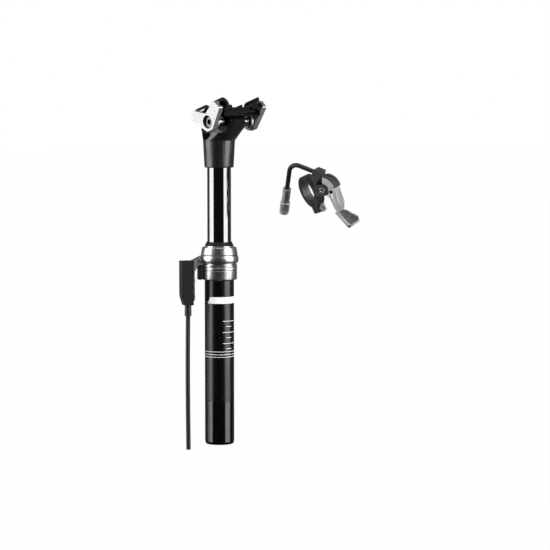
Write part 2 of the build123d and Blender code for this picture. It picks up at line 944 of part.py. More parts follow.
def cradle():
    """The lower clamp half: a drum in the head's seat, a cross beam and two rail hooks."""
    body = rod_along_y(drum_r, -drum_half, drum_half)
    wide = drum_half + overrun
    body -= block((-drum_r, -wide, beam_high), (drum_r, wide, drum_r + overrun))
    slit = rod_along_y(drum_r + overrun, drum_slit_y, drum_slit_y + drum_slit)
    slit -= rod_along_y(drum_r - drum_slit, drum_slit_y - overrun, drum_slit_y + drum_slit + overrun)
    body -= slit
    split_y = rail_half_spacing - rail_split
    beam = [
        (-beam_half_length, beam_high),
        (-beam_half_length, beam_end_low),
        (-beam_knee_x, beam_end_low),
        (-beam_knee_x + beam_low, beam_low),
        (beam_knee_x - beam_low, beam_low),
        (beam_knee_x, beam_end_low),
        (beam_half_length, beam_end_low),
        (beam_half_length, beam_high),
    ]
    body += upright(beam, split_y)
    long_half = hook_half_length
    for side in (-1, 1):
        near, far = sorted((side * web_in_y, side * (split_y + hook_reach)))
        hook = along_rail(rail_r + hook_wall, long_half, side)
        web = block((-long_half, near, beam_low + hook_wall / 2), (long_half, far, rail_height))
        keep = block((-long_half, near, beam_low), (long_half, far, rail_height * 2))
        hook = (hook + web) & keep
        lip_low, lip_high = sorted((side * split_y, side * (split_y + hook_reach + overrun)))
        lip_half = long_half + overrun
        hook -= block((-lip_half, lip_low, 0), (lip_half, lip_high, rail_height + rail_r))
        hook -= block((-hook_notch, near - overrun, beam_high), (hook_notch, far + overrun, rail_height * 2))
        body += hook
        body -= along_rail(rail_r, plate_corner_x, side)
        body -= along_rail(rail_r + rail_relief, hook_notch, side)
        end_y = split_y + hook_reach + overrun
        end_low, end_high = sorted((side * (plate_boss_in - seat_gap), side * end_y))
        body -= rod_along_y(plate_boss_r, end_low, end_high)
        notch_low = (-hook_notch, end_low, beam_low - overrun)
        body -= block(notch_low, (hook_notch, end_high, rail_height * 2))
    body -= rod_along_y(bolt_r + seat_gap / 2, -plate_face_y, plate_face_y)
    return clamp_frame * body


def clamp_plate(side):
    """An outer clamp plate with two lobes, a rail groove inside and a boss round the bolt."""
    inner_y = plate_face_y - plate_thickness
    outline = [
        (-plate_lobe_x, plate_lobe_z),
        (-plate_corner_x, plate_corner_z),
        (-plate_knee_x, 0),
        (-plate_boss_r / 2, -plate_boss_r),
        (plate_boss_r / 2, -plate_boss_r),
        (plate_knee_x, 0),
        (plate_corner_x, plate_corner_z),
        (plate_lobe_x, plate_lobe_z),
        (0, plate_valley_z),
    ]
    face = Plane.XZ * make_face(Polyline(*outline, close=True))
    plate = Location((0, side * inner_y, 0)) * extrude(face, -side * plate_thickness)
    plate = fillet(plate.edges().filter_by(Axis.Y), plate_round)
    low_y, high_y = sorted((side * (inner_y - plate_pad), side * (inner_y + overrun)))
    pad_half = plate_lobe_x
    pad_low = rail_height - plate_pad_drop
    pad_high = rail_height + rail_r
    plate += block((-pad_half, low_y, pad_low), (-hook_notch, high_y, pad_high))
    plate += block((hook_notch, low_y, pad_low), (pad_half, high_y, pad_high))
    hinge = Location((0, side * rail_half_spacing, rail_height))
    plate = hinge * Rot(-side * plate_lean, 0, 0) * hinge.inverse() * plate
    boss_low, boss_high = sorted((side * plate_boss_in, side * (inner_y + overrun)))
    plate += rod_along_y(plate_boss_r - seat_gap, boss_low, boss_high)
    plate -= along_rail(rail_r, plate_corner_x + overrun, side)
    plate -= along_rail(rail_r + rail_relief, hook_notch, side)
    plate -= rod_along_y(bolt_r + seat_gap / 2, -plate_face_y * 2, plate_face_y * 2)
    return plate


def left_plate():
    plate = clamp_plate(1) - rod_along_y(bolt_well_r, bolt_seat_y, plate_face_y + overrun * 2)
    return clamp_frame * plate


def right_plate():
    plate = clamp_plate(-1) - rod_along_y(nut_r, -plate_face_y - overrun * 2, -bolt_seat_y)
    return clamp_frame * plate


def clamp_bolt():
    end_y = -bolt_seat_y - nut_length
    body = rod_along_y(bolt_r, end_y, bolt_seat_y + overrun)
    body += rod_along_y(bolt_head_r, bolt_seat_y, bolt_seat_y + bolt_head_height)
    place = Location((0, bolt_seat_y + bolt_head_height, 0), (90, 0, 0))
    return clamp_frame * (body - place * extrude(RegularPolygon(socket_r, 6), socket_depth))


def clamp_nut():
    body = rod_along_y(nut_r - fit_gap, -bolt_seat_y - nut_length, -bolt_seat_y)
    return clamp_frame * (body - rod_along_y(bolt_r + thread_gap, -plate_face_y, 0))


def clamp_spacers():
    spacers = []
    for side in (-1, 1):
        low, high = sorted((side * (drum_half), side * (plate_boss_in - fit_gap)))
        tube = rod_along_y(spacer_r, low, high)
        hole = rod_along_y(bolt_r + seat_gap / 2, -plate_face_y, plate_face_y)
        spacers.append(clamp_frame * (tube - hole))
    return Compound(children=spacers)


# The view from behind in which the remote is placed: its right, its up and its near side
turn = math.radians(view_turn)
view_right = Vector(-math.cos(turn), -math.sin(turn), 0)
view_up = Vector(0, 0, 1)
view_near = Vector(-math.sin(turn), math.cos(turn), 0)


def seen(right, up, near):
    """A place or a direction given as seen from behind."""
    return view_right * right + view_up * up + view_near * near


band_centre = seen(remote_right, remote_up, 0)
band_axis = seen(*band_axis_shares).normalized()
lever_axis = seen(*lever_axis_shares).normalized()
lever_x = view_up.cross(lever_axis).normalized()
band_out = view_near.cross(band_axis).normalized()
band_plane = Plane(origin=band_centre, x_dir=band_out, z_dir=band_axis)
remote_plane = Plane(origin=band_centre, x_dir=lever_x, z_dir=lever_axis)
pivot = remote_plane.from_local_coords(Vector(pivot_a, pivot_b, pivot_c))
lever_plane = Plane(origin=pivot, x_dir=lever_x, z_dir=lever_axis)


def polar(radius, degrees):
    """A point at an angle about the lever's pivot."""
    return (radius * math.cos(math.radians(degrees)), radius * math.sin(math.radians(degrees)))


# The cable's line, a tangent of the track, as a frame whose X runs out to the noodle
cable_start = polar(track_groove_r, cable_turn)
cable_place = Location((cable_start[0], cable_start[1], 0), (0, 0, cable_turn + 90))


def disc(radius, low, high, x=0, y=0):
    """A round disc about the lever's axis between two places along it."""
    return Location((x, y, (low + high) / 2)) * Cylinder(radius, high - low)


def remote_clamp():
    """The band round the handlebar, its web and lugs for the lever, and the cable stop."""
    band = Cylinder(bar_r + band_wall, band_width)
    boss_r = bar_r + band_wall + pinch_out
    band += block((bar_r, -pinch_half, -band_width / 2), (boss_r, pinch_half, band_width / 2))
    body = band_plane * band
    near = hub_half + lug_gap + lug_thickness
    low = body_low_c - pivot_c
    web = [
        (-hub_r - hub_gap, hub_r),
        (-hub_r - hub_gap, -hub_r),
        (-web_low_x, -web_low_z),
        (-web_waist_x, -web_waist_z),
        (-web_waist_x, web_waist_z),
        (-web_high_x, web_shoulder_z),
        (-web_high_x, web_high_z),
        (-hub_r / 2, web_shoulder_z),
    ]
    pieces = slab(web, low, near)
    for first in (hub_half + lug_gap, -near):
        lug = disc(hub_r, first, first + lug_thickness)
        lug += block((-lug_root, -hub_r, first), (0, hub_r, first + lug_thickness))
        pieces += lug
    stop = block((stop_near, -stop_half_height, -stop_half), (stop_far, stop_half_height, stop_half))
    stop = fillet(stop.edges().filter_by(Axis.Z), band_slit / 2)
    pieces += cable_place * stop
    sweep_area = [
        (-hub_gap, -track_r),
        (track_r * 2, -track_r),
        (track_r * 2, track_r * 2),
        polar(track_r * 2, track_last + clear_turn),
        (-hub_gap, 0),
    ]
    keep_clear = disc(track_r + hub_gap, -lever_half - hub_gap, lever_half + hub_gap)
    keep_clear &= slab(sweep_area, -lever_half * 2, lever_half * 2)
    keep_clear -= disc(hub_r, hub_half + lug_gap, near)
    keep_clear -= disc(hub_r, -near, -hub_half - lug_gap)
    pieces -= keep_clear
    pieces -= disc(pivot_bolt_r + fit_gap, -near - overrun, near + overrun)
    pieces -= disc(pivot_head_r + run_gap, near - pivot_head_height / 2, near + overrun)
    bore = Location((0, 0, 0), (0, 90, 0)) * Cylinder(wire_r + run_gap, (stop_far + track_r) * 2)
    socket = Location(((stop_far + stop_far - noodle_sink) / 2 + overrun / 2, 0, 0), (0, 90, 0))
    pieces -= cable_place * (bore + socket * Cylinder(noodle_r + fit_gap, noodle_sink + overrun))
    through = (pivot_a + bar_r) * 2
    beside = Cylinder(bar_r + hub_gap, through) - Cylinder(boss_r, band_width)
    body += lever_plane * pieces - band_plane * beside
    body -= band_plane * Cylinder(bar_r, through)
    slit = block((0, -band_slit / 2, -band_width), (boss_r + overrun, band_slit / 2, band_width))
    body -= band_plane * slit
    cut = pinch_half + overrun
    hole = rod_along_y(pinch_bolt_r + fit_gap, -cut, cut, pinch_bolt_x)
    return body - band_plane * hole


def pinch_bolt():
    body = rod_along_y(pinch_bolt_r, -pinch_half, pinch_half + overrun, pinch_bolt_x)
    body += rod_along_y(pinch_head_r, pinch_half, pinch_half + pinch_head_height, pinch_bolt_x)
    place = Location((pinch_bolt_x, pinch_half + pinch_head_height, 0), (90, 0, 0))
    body -= place * extrude(RegularPolygon(pinch_socket_r, 6), pinch_socket_depth)
    return band_plane * body


def track_sector(first_turn, last_turn, half):
    """A wedge about the lever's pivot between two angles."""
    points = [(0, 0), polar(track_r * 2, first_turn), polar(track_r * 2, last_turn)]
    return slab(points, -half, half)


def thumb_lever():
    """The lever: a track quadrant round its hub, an arm, and a dished thumb paddle."""
    wheel = track_sector(track_first, track_last, lever_half)
    wheel &= disc(track_r - track_wall, -lever_half, lever_half)
    arm = [
        (arm_root_x, arm_root_z),
        (arm_out_x, arm_out_z),
        (arm_bend_x, arm_bend_z),
        (paddle_x + paddle_wall / 2, paddle_z - paddle_root),
        (paddle_x - paddle_wall / 2, paddle_z),
        (arm_in_x, arm_in_z),
        (0, arm_heel_z),
    ]
    body = wheel + slab(arm, -lever_half, lever_half) + disc(hub_r, -hub_half, hub_half)
    for side in (-1, 1):
        low, high = sorted((side * hub_half, side * (lever_half + overrun)))
        body -= disc(hub_r + hub_gap, low, high)
    body += paddle()
    body -= disc(pivot_bolt_r + bush_wall, -lever_half * 2, lever_half * 2)
    body -= disc(anchor_r + run_gap, lever_half - anchor_depth, lever_half + overrun, anchor_x, anchor_z)
    groove = disc(track_r, -wire_r * 2, wire_r * 2)
    groove -= disc(track_groove_r - wire_r * 2, -lever_half, lever_half)
    groove &= track_sector(0, track_last + track_open_turn, lever_half)
    return lever_plane * (body - groove)


def paddle():
    """The thumb pad: a dished plate that flares out of the arm's end."""
    place = Location((paddle_x, paddle_z, lever_half), (0, 0, -paddle_turn))
    outline = [
        (0, 0),
        (0, -paddle_neck),
        (paddle_flare, -paddle_flare_width),
        (paddle_length - paddle_corner, -paddle_width),
        (paddle_length, -paddle_width + paddle_corner),
        (paddle_length, -paddle_round),
        (paddle_length - paddle_round, 0),
    ]
    face = Plane.XZ * make_face(Polyline(*outline, close=True))
    plate = extrude(face, paddle_wall)
    middle = (paddle_length / 2, paddle_dish_r - paddle_dish, -paddle_width / 2)
    plate -= Location(middle) * Sphere(paddle_dish_r)
    return place * plate


def lever_cover():
    """The ribbed cover of the cable track, a curved strip over the quadrant."""
    cover = disc(track_r, -lever_half, lever_half)
    cover -= disc(track_r - track_wall + fit_gap, -lever_half * 2, lever_half * 2)
    cover &= track_sector(track_first, track_last, lever_half)
    groove = disc(track_r * 2, -track_rib, track_rib)
    groove -= disc(track_r - track_wall / 2, -track_rib - overrun, track_rib + overrun)
    cover -= groove
    cable = track_sector(cable_turn - cable_open_turn, track_last + track_open_turn, wire_r * 2)
    return lever_plane * (cover - cable)


def pivot_bush():
    outer = pivot_bolt_r + bush_wall - fit_gap
    bore = disc(pivot_bolt_r + fit_gap, -lever_half, lever_half)
    return lever_plane * (disc(outer, -hub_half, hub_half) - bore)


def pivot_bolt():
    near = hub_half + lug_gap + lug_thickness
    body = disc(pivot_bolt_r, -near, near)
    head = disc(pivot_head_r, near - pivot_head_height / 2, near + pivot_head_height / 2)
    top = near + pivot_head_height / 2
    hexagon = hexagon_prism(pivot_socket_r, top - pivot_socket_depth, top + overrun)
    return lever_plane * (body + head - hexagon)


def anchor_screw():
    body = disc(anchor_r, lever_half - anchor_depth, lever_half - anchor_depth / 2, anchor_x, anchor_z)
    hexagon = hexagon_prism(anchor_r / 2, lever_half - anchor_depth + anchor_floor, lever_half)
    return lever_plane * (body - Location((anchor_x, anchor_z, 0)) * hexagon)


def on_cable(distance):
    """A point on the cable's line at the lever."""
    local = (cable_place * Location((distance, 0, 0))).position
    return lever_plane.from_local_coords(Vector(*local))


def noodle_path():
    """The noodle's centre line: straight out of the cable stop, one bend, then down."""
    start = on_cable(stop_far - noodle_sink)
    along = on_cable(stop_far)
    direction = (along - start).normalized()
    corner = along + direction * noodle_corner_run
    end = band_centre + seen(noodle_end_right, noodle_end_up, noodle_end_near)
    path = FilletPolyline(start, corner, end, radius=noodle_bend_r)
    return path, end, (end - corner).normalized()


def noodle():
    path, end, direction = noodle_path()
    section = Plane(origin=path @ 0, z_dir=path % 0)
    return sweep(section * Circle(noodle_r), path=path)


def adjuster_plane():
    path, end, direction = noodle_path()
    return Plane(origin=end, z_dir=direction)


def adjuster_neck():
    low = -adjuster_sink
    body = ring(adjuster_neck_r, 0, low, adjuster_neck_length - adjuster_sink)
    high = adjuster_neck_length - adjuster_sink + adjuster_spigot_length
    body += ring(adjuster_spigot_r, 0, 0, high)
    body -= ring(noodle_r + fit_gap, 0, low - overrun, 0)
    body -= ring(adjuster_bore_r, 0, -overrun, high + overrun)
    return adjuster_plane() * body


def adjuster_barrel():
    low = adjuster_neck_length - adjuster_sink + adjuster_gap
    high = low + adjuster_barrel_length
    body = ring(adjuster_barrel_r, 0, low, high)
    rim = body.edges().filter_by(GeomType.CIRCLE).group_by(Axis.Z)[-1]
    body = fillet(rim, adjuster_round)
    body -= ring(adjuster_spigot_r + run_gap, 0, low - overrun, low + adjuster_spigot_length)
    return adjuster_plane() * (body - ring(adjuster_bore_r, 0, low, high + overrun))


subparts = {
    "outer_tube": outer_tube,
    "end_sleeve": end_sleeve,
    "end_plug": end_plug,
    "end_cap": end_cap,
    "collar_seal": seal_ring,
    "lock_ring": lock_ring,
    "collar_ring": collar_ring,
    "actuator_ring": actuator_ring,
    "top_cap": top_cap,
    "wiper_seal": wiper_seal,
    "upper_bush": upper_bush,
    "lower_bush": lower_bush,
    "guide_keys": guide_keys,
    "stanchion": stanchion,
    "actuator_housing": actuator_housing,
    "housing_cover": housing_cover,
    "cover_screws": cover_screws,
    "crank_guard": crank_guard,
    "bell_crank": bell_crank,
    "crank_pin": crank_pin,
    "cable_barrel": cable_barrel,
    "inner_wire": inner_wire,
    "cable_ferrule": cable_ferrule,
    "cable_housing": cable_housing,
    "pull_rod": pull_rod,
    "rocker": rocker,
    "rocker_pin": rocker_pin,
    "valve_pin": valve_pin,
    "piston_rod": piston_rod,
    "piston": piston,
    "piston_seal": piston_seal,
    "cartridge_cylinder": cartridge_cylinder,
    "cartridge_seal_head": cartridge_seal_head,
    "cartridge_retainer": cartridge_retainer,
    "cartridge_nut": cartridge_nut,
    "floating_piston": floating_piston,
    "floating_seal": floating_seal,
    "saddle_head": saddle_head,
    "cradle": cradle,
    "left_plate": left_plate,
    "right_plate": right_plate,
    "clamp_bolt": clamp_bolt,
    "clamp_nut": clamp_nut,
    "clamp_spacers": clamp_spacers,
    "remote_clamp": remote_clamp,
    "pinch_bolt": pinch_bolt,
    "thumb_lever": thumb_lever,
    "track_cover": lever_cover,
    "pivot_bush": pivot_bush,
    "pivot_bolt": pivot_bolt,
    "anchor_screw": anchor_screw,
    "noodle": noodle,
    "adjuster_neck": adjuster_neck,
    "adjuster_barrel": adjuster_barrel,
}
for node, make in subparts.items():
    write(make(), node)
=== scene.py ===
"""The looks of a dropper seatpost with its saddle clamp, cable actuator and thumb remote."""

import json
import logging
import math
from dataclasses import dataclass, field
from enum import Enum
from typing import Sequence

import bmesh
import bpy
from mathutils import Matrix, Vector

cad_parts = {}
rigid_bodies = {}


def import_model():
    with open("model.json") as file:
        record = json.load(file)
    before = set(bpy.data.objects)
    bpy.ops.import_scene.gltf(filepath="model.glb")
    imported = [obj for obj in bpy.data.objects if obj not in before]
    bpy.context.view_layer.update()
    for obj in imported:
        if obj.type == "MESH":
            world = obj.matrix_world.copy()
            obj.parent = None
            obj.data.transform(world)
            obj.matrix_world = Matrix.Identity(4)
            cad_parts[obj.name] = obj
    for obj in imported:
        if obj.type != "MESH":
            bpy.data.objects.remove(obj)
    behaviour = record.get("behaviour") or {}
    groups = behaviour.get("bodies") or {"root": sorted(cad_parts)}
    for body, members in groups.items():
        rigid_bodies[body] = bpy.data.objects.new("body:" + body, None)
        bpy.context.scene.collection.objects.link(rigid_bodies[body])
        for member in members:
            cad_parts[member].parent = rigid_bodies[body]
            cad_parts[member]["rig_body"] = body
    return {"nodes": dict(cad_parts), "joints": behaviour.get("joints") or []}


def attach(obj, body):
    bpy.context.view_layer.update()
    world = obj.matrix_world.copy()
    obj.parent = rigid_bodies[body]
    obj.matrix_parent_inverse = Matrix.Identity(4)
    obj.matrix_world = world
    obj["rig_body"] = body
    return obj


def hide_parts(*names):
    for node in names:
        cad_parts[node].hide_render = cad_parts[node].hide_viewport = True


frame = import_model()

log = logging.getLogger("seatpost")
MM = 0.001
MERGE_M = 2e-6
FLAT_DEG = 1.0
Point = tuple[float, float, float]
Colour = tuple[float, float, float]


class Link:
    """A shader socket on which sums are written as Python expressions."""

    def __init__(self, tree: bpy.types.NodeTree, socket: bpy.types.NodeSocket) -> None:
        """Keep the tree and the socket.

        Args:
            tree: the node tree that new nodes go into.
            socket: the output that this link carries.
        """
        self.tree = tree
        self.socket = socket

    def sum_of(self, operation: str, *values: "Link | float") -> "Link":
        """Add a Math node.

        Args:
            operation: the Math node's operation.
            values: its inputs in order, links or numbers.

        Returns:
            The node's result.
        """
        node = self.tree.nodes.new("ShaderNodeMath")
        node.operation = operation
        for socket, value in zip(node.inputs, values):
            if isinstance(value, Link):
                self.tree.links.new(value.socket, socket)
            else:
                socket.default_value = value
        return Link(self.tree, node.outputs[0])

    def __add__(self, other: "Link | float") -> "Link":
        """This link plus another value."""
        return self.sum_of("ADD", self, other)

    __radd__ = __add__

    def __rsub__(self, other: float) -> "Link":
        """A number less this link."""
        return self.sum_of("SUBTRACT", other, self)

    def __mul__(self, other: "Link | float") -> "Link":
        """This link times another value."""
        return self.sum_of("MULTIPLY", self, other)

    __rmul__ = __mul__

    def __pow__(self, other: float) -> "Link":
        """This link to a power."""
        return self.sum_of("POWER", self, other)

    def between(self, low: float, high: float) -> "Link":
        """0 below one value and 1 above another, smooth between them.

        Args:
            low: where it starts to rise.
            high: where it has risen.

        Returns:
            The step.
        """
        node = self.tree.nodes.new("ShaderNodeMapRange")
        node.interpolation_type = "SMOOTHSTEP"
        self.tree.links.new(self.socket, node.inputs["Value"])
        node.inputs["From Min"].default_value = low
        node.inputs["From Max"].default_value = high
        return Link(self.tree, node.outputs["Result"])


class Sketch:
    """The node tree of one material or world, with short ways to add nodes."""

    def __init__(self, tree: bpy.types.NodeTree) -> None:
        """Empty the tree.

        Args:
            tree: the node tree that is drawn in.
        """
        self.tree = tree
        tree.nodes.clear()

    def node(
        self, kind: str, settings: dict | None = None, inputs: dict | None = None
    ) -> bpy.types.Node:
        """Add a node, set it up and fill its sockets.

        Args:
            kind: the node's type.
            settings: its properties, set first.
            inputs: socket names or numbers, with a link or a plain value each.

        Returns:
            The node.
        """
        node = self.tree.nodes.new(kind)
        for key, value in (settings or {}).items():
            setattr(node, key, value)
        for key, value in (inputs or {}).items():
            socket = node.inputs[key]
            if isinstance(value, Link):
                self.tree.links.new(value.socket, socket)
            else:
                socket.default_value = value
        return node

    def link(
        self, kind: str, output: str | int, settings: dict | None = None, inputs: dict | None = None
    ) -> Link:
        """Add a node and return one of its outputs.

        Args:
            kind: the node's type.
            output: the output's name or number.
            settings: its properties.
            inputs: its sockets' values.

        Returns:
            The output.
        """
        return Link(self.tree, self.node(kind, settings, inputs).outputs[output])

    def place(self) -> Link:
        """The place on the object, in metres, in the row frame."""
        return self.link("ShaderNodeTexCoord", "Object")

    def mapped(self, turn: Point, scale: Point, centre: Point = (0, 0, 0)) -> Link:
        """The place, turned about a centre and scaled.

        Args:
            turn: the turn about each axis, in degrees.
            scale: the scale along each turned axis.
            centre: the point that becomes the origin, in millimetres.

        Returns:
            The mapped place.
        """
        moved = self.node("ShaderNodeVectorMath", {"operation": "SUBTRACT"}, {0: self.place()})
        moved.inputs[1].default_value = [value * MM for value in centre]
        angles = [math.radians(value) for value in turn]
        spun = self.node("ShaderNodeVectorRotate", {"rotation_type": "EULER_XYZ"}, {"Rotation": angles})
        self.tree.links.new(moved.outputs[0], spun.inputs["Vector"])
        sized = self.node("ShaderNodeVectorMath", {"operation": "MULTIPLY"})
        self.tree.links.new(spun.outputs[0], sized.inputs[0])
        sized.inputs[1].default_value = scale
        return Link(self.tree, sized.outputs[0])

    def noise(self, vector: Link, scale: float, detail: float = 2.0) -> Link:
        """Noise between 0 and 1.

        Args:
            vector: the place it is read at.
            scale: how many spots there are in a unit.
            detail: how many finer layers it has.

        Returns:
            The noise.
        """
        inputs = {"Vector": vector, "Scale": scale, "Detail": detail}
        return self.link("ShaderNodeTexNoise", "Fac", None, inputs)

    def mix(self, factor: Link, first: Colour, second: Colour) -> Link:
        """A colour between two others.

        Args:
            factor: 0 for the first, 1 for the second.
            first: a colour.
            second: a colour.

        Returns:
            The mixed colour.
        """
        node = self.node("ShaderNodeMix", {"data_type": "RGBA"}, {0: factor})
        node.inputs[6].default_value = (*first, 1)
        node.inputs[7].default_value = (*second, 1)
        return Link(self.tree, node.outputs[2])

    def parts(self, vector: Link) -> tuple[Link, Link, Link]:
        """A vector's three numbers.

        Args:
            vector: the vector.

        Returns:
            Its X, Y and Z.
        """
        node = self.node("ShaderNodeSeparateXYZ", None, {0: vector})
        return tuple(Link(self.tree, output) for output in node.outputs)


class Process(Enum):
    """How a surface was made, which gives its grain."""

    TURNED = "turned"
    BRUSHED = "brushed"
    BLASTED = "blasted"
    POLISHED = "polished"
    MOULDED = "moulded"
    DRAWN = "drawn"


# How a stroked grain is stretched along the stroke, its share of the scale, and its detail
STROKES: dict[Process, Point] = {
    Process.BRUSHED: (0.03, 1.0, 3.0),
    Process.DRAWN: (0.01, 1.0, 1.0),
    Process.POLISHED: (0.3, 0.3, 4.0),
}
GRAIN_DETAIL = 3.0
LATHE_LEAN = 0.8

# Slow clouds in the colour and scuffs in the gloss, which every finish has
CLOUDS_PER_M = 90.0
CLOUD_SHARE = 0.6
CLOUD_RANGE = (0.3, 0.7)
SCUFFS_PER_M = 420.0
SCUFF_DETAIL = 4.0
SCUFF_RANGE = (0.45, 0.75)
SCUFF_GLOSS = 0.14
GRAIN_GLOSS = 0.16
EVEN_GLOSS = 0.88


@dataclass(frozen=True)
class Finish:
    """One surface finish: its colour, gloss and grain."""

    name: str
    slot: str
    colour: Colour
    roughness: float
    metallic: float
    process: Process
    depth_mm: float = 0.004
    grain_per_mm: float = 6.0
    drift: float = 0.12
    coat: float = 0.0
    coat_roughness: float = 0.1
    turn: Point = (0, 0, 0)
    centre: Point = (0, 0, 0)
    gloss: float = 0.5

    def grain(self, sketch: Sketch) -> Link:
        """The fine relief that the process leaves.

        Args:
            sketch: the material's nodes.

        Returns:
            A height between 0 and 1.
        """
        scale = self.grain_per_mm / MM
        if self.process is Process.TURNED:
            x, y, z = sketch.parts(sketch.mapped(self.turn, (1, 1, 1), self.centre))
            radius = (x * x + y * y) ** 0.5
            line = (z + radius * LATHE_LEAN) * scale
            inputs = {"W": line, "Detail": GRAIN_DETAIL}
            return sketch.link("ShaderNodeTexNoise", "Fac", {"noise_dimensions": "1D"}, inputs)
        if self.process in STROKES:
            stretch, share, detail = STROKES[self.process]
            long_way = sketch.mapped(self.turn, (scale, scale, scale * stretch), self.centre)
            return sketch.noise(long_way, share, detail)
        return sketch.noise(sketch.place(), scale, GRAIN_DETAIL)

    def material(self) -> bpy.types.Material:
        """Make the finish's material.

        Returns:
            The material.
        """
        material = bpy.data.materials.new(self.name)
        material.use_nodes = True
        sketch = Sketch(material.node_tree)
        grain = self.grain(sketch)
        cloud = sketch.noise(sketch.place(), CLOUDS_PER_M, GRAIN_DETAIL)
        worn = sketch.noise(sketch.place(), SCUFFS_PER_M, SCUFF_DETAIL).between(*SCUFF_RANGE)
        dark = tuple(value * (1 - self.drift) for value in self.colour)
        light = tuple(min(1.0, value * (1 + self.drift)) for value in self.colour)
        patch = cloud * CLOUD_SHARE + grain * (1 - CLOUD_SHARE)
        colour = sketch.mix(patch.between(*CLOUD_RANGE), dark, light)
        rough = self.roughness * (EVEN_GLOSS + GRAIN_GLOSS * grain)
        rough = rough + worn * (self.roughness * SCUFF_GLOSS)
        shader = sketch.node(
            "ShaderNodeBsdfPrincipled",
            None,
            {
                "Base Color": colour,
                "Roughness": rough,
                "Metallic": self.metallic,
                "Coat Weight": self.coat,
                "Coat Roughness": self.coat_roughness,
                "Specular IOR Level": self.gloss,
            },
        )
        bump = sketch.node("ShaderNodeBump", None, {"Height": grain, "Strength": 1.0})
        bump.inputs["Distance"].default_value = self.depth_mm * MM
        sketch.tree.links.new(bump.outputs[0], shader.inputs["Normal"])
        output = sketch.node("ShaderNodeOutputMaterial")
        sketch.tree.links.new(shader.outputs[0], output.inputs[0])
        return material


class Finishes:
    """The finishes of this post, each made once."""

    def __init__(self) -> None:
        """Start with no material made."""
        self.made: dict[str, bpy.types.Material] = {}

    def of(self, finish: Finish) -> bpy.types.Material:
        """The finish's material.

        Args:
            finish: the finish.

        Returns:
            Its material, made the first time it is asked for.
        """
        if finish.name not in self.made:
            self.made[finish.name] = finish.material()
        return self.made[finish.name]


TUBE_BLACK = Finish(
    "satin_black_tube", "tube_black", (0.048, 0.048, 0.05), 0.27, 0.98, Process.DRAWN, 0.0012,
    5.0, 0.12,
)
SLEEVE_BLACK = Finish(
    "smooth_black_sleeve", "sleeve_black", (0.055, 0.055, 0.057), 0.15, 0.98, Process.TURNED,
    0.0005, 5.0, 0.12,
)
STANCHION_BLACK = Finish(
    "polished_black_stanchion", "stanchion_black", (0.27, 0.27, 0.275), 0.07, 1.0,
    Process.POLISHED, 0.0003, 4.0, 0.05,
)
HEAD_BLACK = Finish(
    "blasted_black_head", "head_black", (0.085, 0.085, 0.087), 0.34, 0.95, Process.BLASTED,
    0.004, 5.0, 0.15,
)
CRADLE_BLACK = Finish(
    "black_cradle", "cradle_black", (0.004, 0.004, 0.0042), 0.25, 1.0, Process.BLASTED, 0.003,
    5.0, 0.15,
)
PLUG_BLACK = Finish(
    "black_plug", "plug_black", (0.03, 0.03, 0.03), 0.45, 0.5, Process.TURNED, 0.002, 5.0, 0.2,
)
SILVER_MACHINED = Finish(
    "turned_silver", "silver_machined", (0.47, 0.48, 0.495), 0.31, 1.0, Process.TURNED, 0.004,
    1.6, 0.16,
)
SILVER_SATIN = Finish(
    "satin_silver", "silver_satin", (0.39, 0.4, 0.41), 0.34, 1.0, Process.TURNED, 0.004, 1.6,
    0.16,
)
PLATE_SILVER = Finish(
    "polished_plate", "plate_silver", (0.45, 0.45, 0.455), 0.47, 1.0, Process.BRUSHED, 0.0006,
    5.0, 0.02,
)
PLAIN_ALUMINIUM = Finish(
    "machined_aluminium", "plain_aluminium", (0.6, 0.61, 0.62), 0.4, 1.0, Process.TURNED, 0.002,
    5.0, 0.1,
)
LEVER_SILVER = Finish(
    "brushed_lever", "lever_silver", (0.8, 0.8, 0.81), 0.44, 1.0, Process.BRUSHED, 0.0012, 6.0,
    0.12, 0.0, 0.1, (0, 35, 48),
)
ADJUSTER_SILVER = Finish(
    "turned_grey_adjuster", "adjuster_silver", (0.85, 0.86, 0.88), 0.46, 1.0, Process.BLASTED,
    0.0015, 5.0, 0.12,
)
REMOTE_BLACK = Finish(
    "blasted_black_remote", "remote_black", (0.03, 0.03, 0.031), 0.46, 0.1, Process.BLASTED,
    0.006, 3.5, 0.25,
)
BRIGHT_STEEL = Finish(
    "bright_steel", "bright_steel", (0.6, 0.6, 0.61), 0.26, 1.0, Process.MOULDED, 0.0002, 2.0,
    0.05,
)
DARK_STEEL = Finish(
    "dark_bolt_steel", "bright_steel", (0.13, 0.13, 0.135), 0.3, 1.0, Process.TURNED, 0.001,
    6.0, 0.1,
)
PAD_POLISH = Finish(
    "polished_thumb_pad", "lever_silver", (0.66, 0.66, 0.67), 0.24, 1.0, Process.BRUSHED,
    0.0008, 6.0, 0.1, 0.0, 0.1, (0, 35, 48),
)
LINER_PALE = Finish(
    "pale_cable_liner", "cable_black", (0.6, 0.6, 0.58), 0.4, 0.0, Process.MOULDED, 0.0005, 5.0,
    0.05,
)
BLACK_STEEL = Finish(
    "blackened_steel", "black_steel", (0.02, 0.02, 0.02), 0.35, 0.5, Process.TURNED, 0.002, 6.0,
    0.15,
)
BRASS_KEY = Finish(
    "turned_brass", "brass_key", (0.72, 0.52, 0.22), 0.3, 1.0, Process.TURNED, 0.002, 6.0, 0.1,
)
HOUSING_PLASTIC = Finish(
    "moulded_black_housing", "housing_plastic", (0.009, 0.009, 0.01), 0.38, 0.0,
    Process.MOULDED, 0.005, 3.0, 0.15, gloss=0.3,
)
FERRULE_BLACK = Finish(
    "black_ferrule", "ferrule_black", (0.012, 0.012, 0.012), 0.3, 0.0, Process.TURNED, 0.001,
    5.0, 0.15,
)
